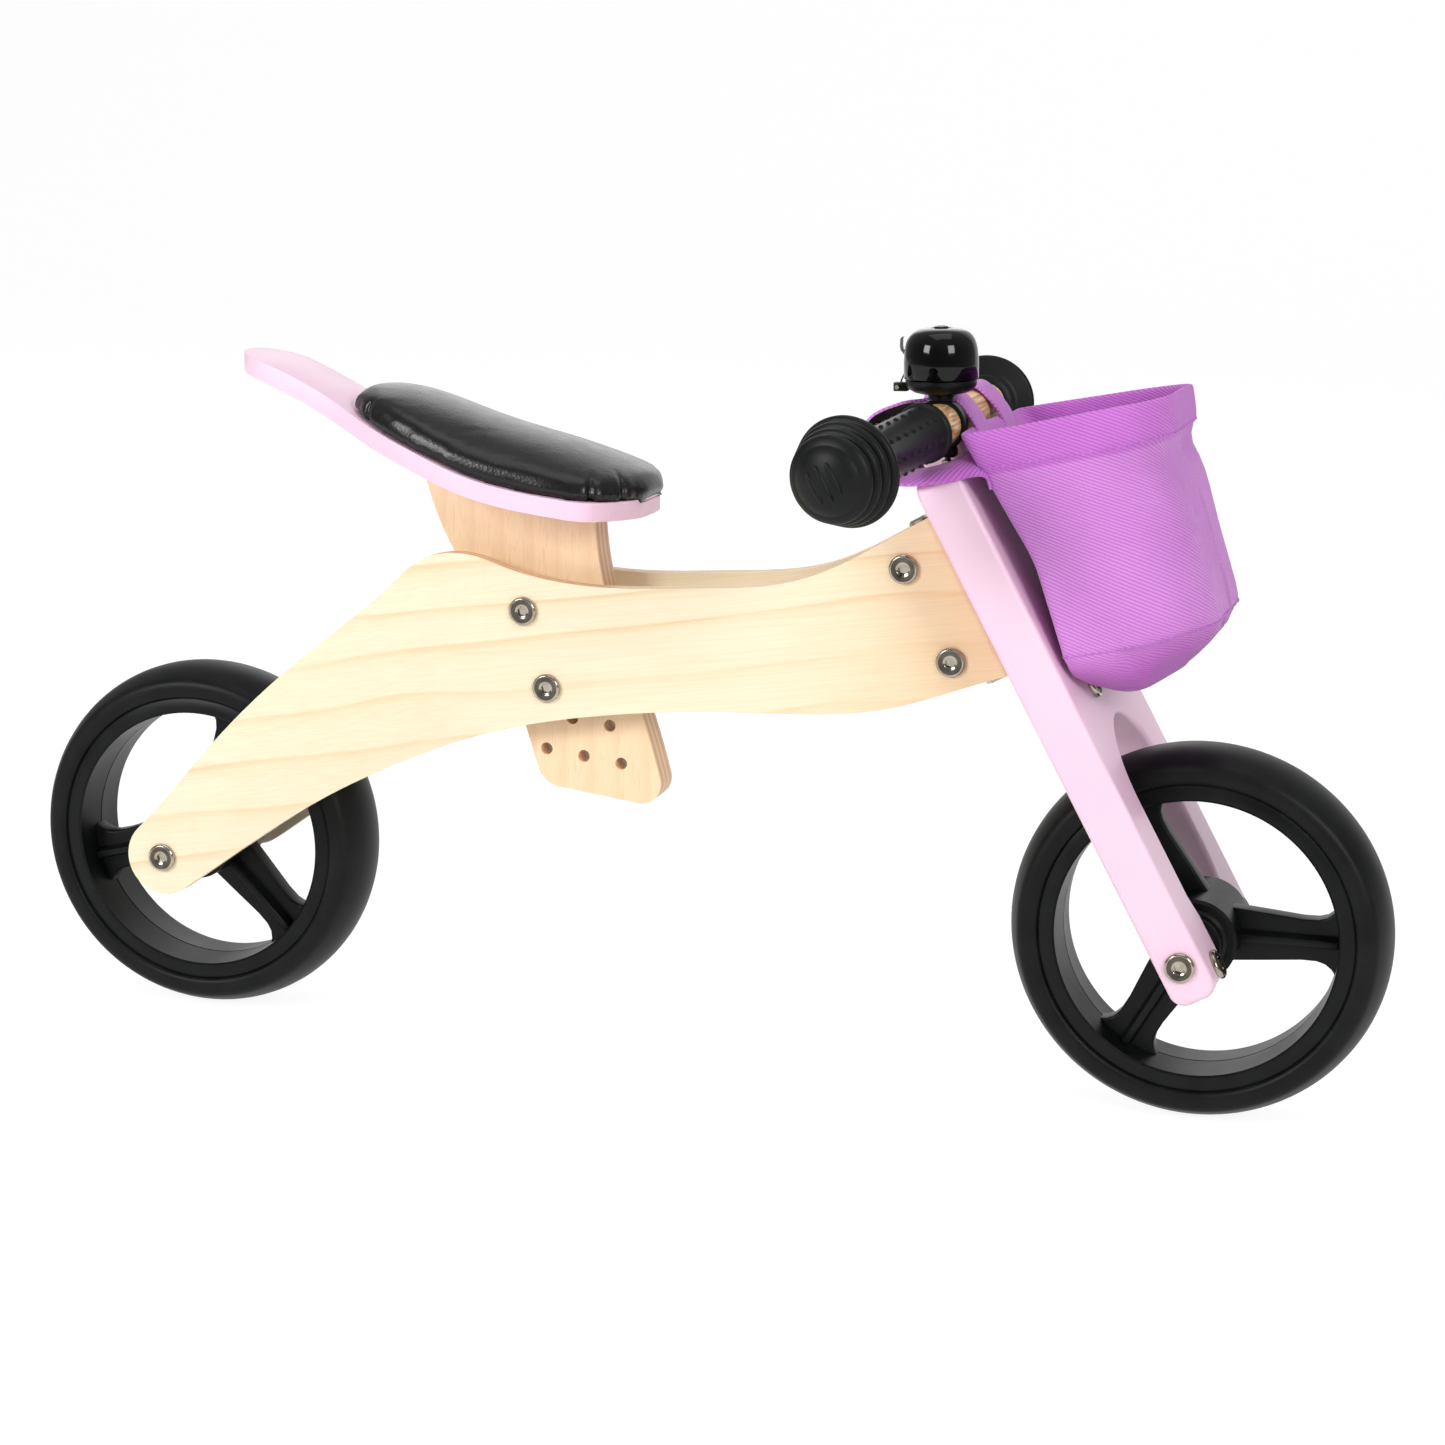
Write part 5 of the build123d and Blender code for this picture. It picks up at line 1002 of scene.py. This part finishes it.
# Rows of the cloth from the hem's inner edge over its fold and down to the foot: level and stand-off
BAG_ROWS = [(97.0, -1.9), (104.0, -1.8), (110.6, -1.6), (112.0, -0.9), (112.5, -0.1), (112.2, 0.7), (110.8, 1.2),
            (106.0, 1.3), (100.0, 1.3), (95.6, 1.2), (94.2, 0.9), (93.6, 0.25), (92.4, 0.0), (89.0, 0.0), (84.0, 0.0),
            (78.0, 0.0), (71.0, 0.0), (63.0, 0.0), (55.0, 0.0), (47.0, 0.0), (39.0, 0.0), (31.0, 0.0), (23.0, 0.0),
            (16.0, 0.0), (10.0, 0.0), (6.0, 0.0), (3.6, -0.3), (2.2, -1.0), (0.8, -0.5), (-1.5, 0.0), (-4.5, 0.0),
            (-7.5, 0.0), (-10.5, 0.0), (-13.0, 0.0), (-14.0, 0.0)]
# Radius of the back corners in millimetres, points round a row, and girth of the cloth at its seam in metres
BAG_BACK_R, BAG_POINTS, BAG_GIRTH = 3.5, 192, 0.43


def bag_section(level):
    """Back, front, half width and corner of the bag at a level, read between the given sections."""
    for upper, lower in zip(BAG_SECTIONS, BAG_SECTIONS[1:]):
        if level >= lower[0]:
            share = (upper[0] - level) / (upper[0] - lower[0])
            return [a + (b - a) * share for a, b in zip(upper[1:], lower[1:])]
    return list(BAG_SECTIONS[-1][1:])


def bag_outline(back, front, half, corner, share):
    """Point of a bag section at a share of the way round from the middle of its back, and the distance walked."""
    flat_back = half - BAG_BACK_R
    flat_side = front - back - BAG_BACK_R - corner
    flat_front = half - corner
    runs = [flat_back, BAG_BACK_R * pi / 2, flat_side, corner * pi / 2, flat_front]
    total = sum(runs)
    mirror = 1.0
    walk = share * 2 * total
    if walk > total:
        walk = 2 * total - walk
        mirror = -1.0
    if walk <= runs[0]:
        spot = (back, walk)
    elif walk <= sum(runs[:2]):
        turn = (walk - runs[0]) / BAG_BACK_R
        spot = (back + BAG_BACK_R * (1 - cos(turn)), flat_back + BAG_BACK_R * sin(turn))
    elif walk <= sum(runs[:3]):
        spot = (back + BAG_BACK_R + walk - sum(runs[:2]), half)
    elif walk <= sum(runs[:4]):
        turn = (walk - sum(runs[:3])) / corner
        spot = (front - corner + corner * sin(turn), half - corner * (1 - cos(turn)))
    else:
        spot = (front, flat_front - (walk - sum(runs[:4])))
    return spot[0], spot[1] * mirror, walk * mirror


def bag_point(level, off, share):
    """Place on the slack cloth in metres, and its cloth coordinates."""
    back, front, half, corner = bag_section(level)
    x, y, walk = bag_outline(back, front, half, corner, share)
    middle = (back + front) / 2
    out = Vector((x - middle, y))
    out = out.normalized() if out.length else Vector((1, 0))
    frontness = smooth_step(20.0, 60.0, x)
    # Slack: long soft dents, a pinch under the hem at the front, small gathers at the bottom seam
    dent = noise.noise(Vector((walk * 0.021, level * 0.017, 1.3))) * 2.4
    dent += noise.noise(Vector((walk * 0.055, level * 0.035, 7.9))) * 0.9
    dent *= smooth_step(0.0, 14.0, x - back) * (0.35 if level > 93.0 else 1.0)
    hem_flare = 1.6 * frontness * smooth_step(90.0, 97.0, level)
    pinch = -2.2 * frontness * swell(level, 86.0, 6.5)
    droop = 0.9 * swell(level, 78.0, 5.0) * swell(abs(y), 46.0, 16.0) * (1.0 if x > 10 else 0.0)
    gather = noise.noise(Vector((walk * 0.16, 2.0, 0.4))) * 1.3 * swell(level, 2.0, 5.0)
    off_all = off + (dent + hem_flare + pinch + gather - droop if x - back > 2.0 else 0.0)
    # The foot hangs lowest behind the middle, and its front is drawn up into a fold
    foot = smooth_step(14.0, -6.0, level)
    rise = foot * (4.2 * smooth_step(30.0, 62.0, x) + 4.0 * smooth_step(22.0, 31.0, x) * swell(level, 1.0, 5.0)
                   - 4.0 * swell(x, 26.0, 13.0) * smooth_step(0.0, -12.0, level))
    # The rim waves a little and sags on the far side
    lift = 0.8 * noise.noise(Vector((walk * 0.02, 5.0, 2.0))) - 2.2 * smooth_step(-10.0, 60.0, y)
    lift *= smooth_step(90.0, 110.0, level)
    spot = BAG_AT + BAG_AHEAD * ((x + out.x * off_all) * MM) + ACROSS * ((y + out.y * off_all) * MM) \
        + BAG_UP * ((level + rise + lift) * MM)
    return spot, (walk * MM, (level if off >= -1.0 else 224.0 - level) * MM)


def cloth_uv(bm, values):
    """Cloth coordinates in metres on each corner, from a lookup of vertex to (round, up)."""
    layer = bm.loops.layers.uv.new("cloth")
    for face in bm.faces:
        rounds = [values[vert][0] for vert in face.verts]
        wrap = max(rounds) - min(rounds) > 0.2
        for corner in face.loops:
            around, up = values[corner.vert]
            if wrap and around < 0:
                around += BAG_GIRTH
            corner[layer].uv = (around, up)


class BIKE_OT_bag(bpy.types.Operator):
    """Loft the cloth bag with its folded hem, sag, bottom gathers and stitches"""

    bl_idname = "bike.bag"
    bl_label = "Bag"

    def execute(self, context):
        bm = bmesh.new()
        values = {}
        loops = []
        for level, off in BAG_ROWS:
            ring = bmesh.ops.create_circle(bm, segments=BAG_POINTS, radius=0.05)["verts"]
            for place, vert in enumerate(ring):
                vert.co, values[vert] = bag_point(level, off, place / BAG_POINTS)
            loops.append(ring)
        for upper, lower in zip(loops, loops[1:]):
            edges = set(edge for ring in (upper, lower) for vert in ring for edge in vert.link_edges
                        if not edge.link_faces or edge.is_boundary)
            both = set(upper) | set(lower)
            bmesh.ops.bridge_loops(bm, edges=[edge for edge in edges if all(v in both for v in edge.verts)])
        foot = set(edge for vert in loops[-1] for edge in vert.link_edges if edge.is_boundary)
        bmesh.ops.edgeloop_fill(bm, edges=list(foot))
        cloth_uv(bm, values)
        area = sum(face.calc_area() for face in bm.faces)
        bag = add_piece("bag_cloth", bm, "fork_assembly", ["bag"], "purple_twill", sharp=180)
        thick = bag.modifiers.new("Cloth", "SOLIDIFY")
        thick.thickness = 1.1 * MM
        thick.offset = -1.0
        # Stitches 2.7 mm long in two rows: along the hem and above the bottom seam
        bm = bmesh.new()
        for level, off, count in ((95.4, 1.35, 100), (5.6, 0.25, 96)):
            for stitch in range(count):
                share = (stitch + 0.5) / count
                spot, _ = bag_point(level, off, share)
                after, _ = bag_point(level, off, share + 0.002)
                along = (after - spot).normalized()
                out = along.cross(BAG_UP).normalized()
                turn = Matrix((along, out.cross(along), out)).transposed().to_4x4()
                block(bm, (2.7, 0.7, 0.5), Matrix.Translation(spot) @ turn, bevel=0.2)
        stitches = add_piece("bag_stitches", bm, "fork_assembly", [], "sewing_thread", sharp=60)
        return {"FINISHED"}


# Stations round the bar of a strap's outer edge, middle and inner edge: normal, along and across in millimetres
STRAP_STATIONS = [
    ((20.7, 250.0, 38.0), (20.7, 250.0, 27.0), (20.7, 250.0, 16.0)),
    ((20.9, 262.0, 37.5), (20.9, 262.0, 26.5), (20.9, 262.0, 15.5)),
    ((16.8, 276.2, 36.2), (16.8, 276.2, 25.0), (16.8, 276.0, 14.0)),
    ((7.5, 279.4, 36.0), (7.5, 279.4, 25.0), (7.5, 279.4, 14.5)),
    ((-4.0, 284.0, 46.0), (-3.0, 281.4, 35.0), (-2.0, 278.6, 25.0)),
    ((-17.5, 283.5, 58.0), (-15.0, 280.8, 47.5), (-12.0, 278.0, 37.0)),
    ((-24.0, 270.0, 65.0), (-21.5, 269.0, 55.0), (-19.0, 268.0, 44.0)),
    ((-18.0, 254.0, 67.6), (-16.0, 255.0, 57.0), (-14.0, 256.0, 46.0)),
    ((1.6, 243.8, 68.6), (1.0, 249.6, 64.0), (0.0, 250.6, 46.0)),
    ((20.3, 238.2, 65.6), (19.6, 244.0, 60.0), (19.2, 248.0, 46.0)),
    ((21.0, 231.0, 64.6), (20.6, 236.0, 58.0), (20.4, 240.0, 46.0)),
]


def smooth_between(points, share):
    """Point at a share of the way along a curve through the given points."""
    last = len(points) - 1
    at = min(share * last, last - 1e-6)
    step = int(at)
    t = at - step
    p0, p1, p2, p3 = (Vector(points[min(max(step + k, 0), last)]) for k in (-1, 0, 1, 2))
    return 0.5 * (2 * p1 + (p2 - p0) * t + (2 * p0 - 5 * p1 + 4 * p2 - p3) * t * t
                  + (3 * p1 - 3 * p2 + p3 - p0) * t * t * t)


# Length of a strap's cloth coordinates, metres
STRAP_LENGTH = 0.150
# Run of the strap behind the bar that is black on its inner side, metres from its start
BLACK_FROM, BLACK_TO = 0.055, 0.098


class BIKE_OT_straps(bpy.types.Operator):
    """Lay the two cloth straps slantwise round the bar, their ends running down to the bag's back"""

    bl_idname = "bike.straps"
    bl_label = "Straps"

    def execute(self, context):
        wide = sizes().strap_width / MM
        steps, rows = 90, 8
        edges = [[station[edge] for station in STRAP_STATIONS] for edge in range(3)]
        for name, side in (("bag_strap_right", -1), ("bag_strap_left", 1)):
            bm = bmesh.new()
            bmesh.ops.create_grid(bm, x_segments=steps, y_segments=rows, size=0.5)
            values = {}
            for vert in bm.verts:
                along, over = vert.co.x + 0.5, vert.co.y + 0.5
                three = [smooth_between(edge, along) for edge in edges]
                spot = three[0] * ((1 - over) * (1 - 2 * over)) + three[1] * (4 * over * (1 - over)) \
                    + three[2] * (over * (2 * over - 1))
                values[vert] = (over * wide * MM, along * STRAP_LENGTH)
                vert.co = fork_point(spot.y, spot.x, side * spot.z)
            cloth_uv(bm, values)
            area = sum(face.calc_area() for face in bm.faces)
            behind = [BLACK_FROM < values[face.verts[0]][1] < BLACK_TO for face in bm.faces]
            strap = add_piece(name + "_cloth", bm, "fork_assembly", [name], "purple_twill", sharp=180)
            # Only the run behind the bar is black on its inner side
            strap.data.materials.append(finish("purple_twill"))
            strap.data.materials.append(finish("strap_inner_black"))
            for face in strap.data.polygons:
                face.material_index = 1 if behind[face.index] else 0
            thick = strap.modifiers.new("Cloth", "SOLIDIFY")
            thick.thickness = 1.4 * MM
            thick.offset = 0.0
            thick.material_offset = 1
        return {"FINISHED"}


# Stage

# Camera that matches the photo: azimuth, elevation and roll in degrees, lens in millimetres, place in metres
CAMERA_ANGLES, CAMERA_LENS, CAMERA_AT = (16.73, 12.57, 1.07), 74.40, (0.42891, -1.36407, 0.48772)
# Softboxes: name, place and side in metres, watts
LAMPS = [("left", (-1.45, -2.2, 1.25), 0.9, 37.5), ("right", (1.9, -1.8, 1.35), 0.9, 30.0),
         ("top", (0.1, -0.2, 2.4), 1.6, 10.0), ("back", (-0.6, 2.4, 1.2), 1.4, 5.0)]
LIT_POINT = Vector((0, 0, 0.2))
# Half the floor, radius of its bend into the backdrop and height of the wall, metres
SWEEP_HALF, SWEEP_BEND, SWEEP_WALL = 4.0, 1.0, 4.0
WHITE = (1, 1, 1, 1)


class BIKE_OT_stage(bpy.types.Operator):
    """Set the camera, the soft studio light and the pale floor"""

    bl_idname = "bike.stage"
    bl_label = "Studio stage"

    def execute(self, context):
        scene = context.scene
        scene.view_settings.view_transform = "Standard"
        azimuth, elevation, roll = (radians(angle) for angle in CAMERA_ANGLES)
        back = Vector((sin(azimuth) * cos(elevation), -cos(azimuth) * cos(elevation), sin(elevation)))
        right = Vector((cos(azimuth), sin(azimuth), 0))
        up = back.cross(right)
        right, up = right * cos(roll) + up * sin(roll), up * cos(roll) - right * sin(roll)
        lens = bpy.data.cameras.new("photo_camera")
        lens.sensor_width = 36.0
        lens.lens = CAMERA_LENS
        lens.clip_start = 0.05
        camera = bpy.data.objects.new("photo_camera", lens)
        turn = Matrix((right, up, back)).transposed().to_4x4()
        camera.matrix_world = Matrix.Translation(CAMERA_AT) @ turn
        scene.collection.objects.link(camera)
        scene.camera = camera

        # Floor that turns up into a backdrop behind the bike
        bm = bmesh.new()
        bmesh.ops.create_grid(bm, x_segments=1, y_segments=1, size=SWEEP_HALF)
        rear = [edge for edge in bm.edges if all(vert.co.y > 0 for vert in edge.verts)]
        bend = bmesh.ops.spin(bm, geom=rear + list(rear[0].verts), cent=(0, SWEEP_HALF, SWEEP_BEND), axis=(1, 0, 0),
                              angle=pi / 2, steps=16)
        top = [item for item in bend["geom_last"] if isinstance(item, bmesh.types.BMEdge)]
        wall = new_verts(bmesh.ops.extrude_edge_only(bm, edges=top))
        bmesh.ops.translate(bm, vec=(0, 0, SWEEP_WALL), verts=wall)
        bmesh.ops.recalc_face_normals(bm, faces=bm.faces)
        mesh = bpy.data.meshes.new("studio_sweep")
        bm.to_mesh(mesh)
        bm.free()
        mesh.polygons.foreach_set("use_smooth", [True] * len(mesh.polygons))
        sweep = bpy.data.objects.new("studio_sweep", mesh)
        scene.collection.objects.link(sweep)
        mesh.materials.append(self.sweep_finish())

        world = bpy.data.worlds.new("studio")
        scene.world = world
        world.use_nodes = True
        world.node_tree.nodes.clear()
        add = partial(add_node, world.node_tree)
        # A dim room in front of the bike, brighter behind and above
        sky = add("SeparateXYZ", {"Vector": add("TexCoord").outputs["Generated"]}).outputs
        rear = add("MapRange", {"Value": sky["Y"], "From Min": -1.0, "From Max": 1.0, "To Min": 0.13, "To Max": 0.42})
        over = add("MapRange", {"Value": sky["Z"], "From Min": 0.2, "From Max": 0.9, "To Max": 0.2})
        level = add("Math", {0: rear, 1: over}, operation="ADD")
        room = add("Background", {"Color": WHITE, "Strength": level})
        # Past the edge of the sweep the camera sees the same white
        paper = add("Background", {"Color": WHITE, "Strength": 1.0})
        both = add("MixShader", {0: add("LightPath").outputs["Is Camera Ray"], 1: room, 2: paper})
        add("OutputWorld", {"Surface": both})

        for name, place, size, power in LAMPS:
            lamp = bpy.data.lights.new(name + "_softbox", "AREA")
            lamp.shape = "SQUARE"
            lamp.size = size
            lamp.energy = power
            made = bpy.data.objects.new(name + "_softbox", lamp)
            made.location = place
            made.rotation_euler = (LIT_POINT - Vector(place)).to_track_quat("-Z", "Y").to_euler()
            scene.collection.objects.link(made)
        return {"FINISHED"}

    @staticmethod
    def sweep_finish():
        # Matt white paper sweep: reads white to the eye and in gloss, and keeps a soft shadow under the bike
        made, add = new_finish("paper_sweep")
        path = add("LightPath").outputs
        direct = add("Math", {0: path["Is Camera Ray"], 1: path["Is Glossy Ray"]}, operation="MAXIMUM")
        seen = add("Math", {0: direct, 1: path["Is Transmission Ray"]}, operation="MAXIMUM")
        lit = add("BsdfPrincipled", {"Base Color": linear(colours().floor), "Roughness": 0.9})
        white = add("Emission", {"Color": WHITE, "Strength": 0.9})
        shade = add("BsdfDiffuse", {"Color": (0.22, 0.22, 0.22, 1)})
        paper = add("AddShader", {0: white, 1: shade})
        add("OutputMaterial", {"Surface": add("MixShader", {0: seen, 1: lit, 2: paper})})
        return made


class BIKE_PT_panel(bpy.types.Panel):
    """Sizes, colours and steps of the balance bike"""

    bl_idname = "BIKE_PT_panel"
    bl_label = "Balance bike"
    bl_space_type = "VIEW_3D"
    bl_region_type = "UI"
    bl_category = "Balance bike"

    def draw(self, context):
        for step in STEPS:
            self.layout.operator(step.bl_idname)
        for group in (context.scene.bike_sizes, context.scene.bike_colours):
            for key in group.__annotations__:
                self.layout.prop(group, key)


STEPS = [BIKE_OT_stage, BIKE_OT_dress_solids, BIKE_OT_tyres, BIKE_OT_rims, BIKE_OT_bolts, BIKE_OT_grips, BIKE_OT_bell,
         BIKE_OT_seat_pad, BIKE_OT_bag, BIKE_OT_straps]
CLASSES = [BikeSizes, BikeColours] + STEPS + [BIKE_PT_panel]


def register():
    for made in CLASSES:
        bpy.utils.register_class(made)
    bpy.types.Scene.bike_sizes = bpy.props.PointerProperty(type=BikeSizes)
    bpy.types.Scene.bike_colours = bpy.props.PointerProperty(type=BikeColours)


def unregister():
    del bpy.types.Scene.bike_colours
    del bpy.types.Scene.bike_sizes
    for made in reversed(CLASSES):
        bpy.utils.unregister_class(made)


def main():
    register()
    for step in STEPS:
        group, name = step.bl_idname.split(".")
        getattr(getattr(bpy.ops, group), name)()


if __name__ == "__main__":
    main()
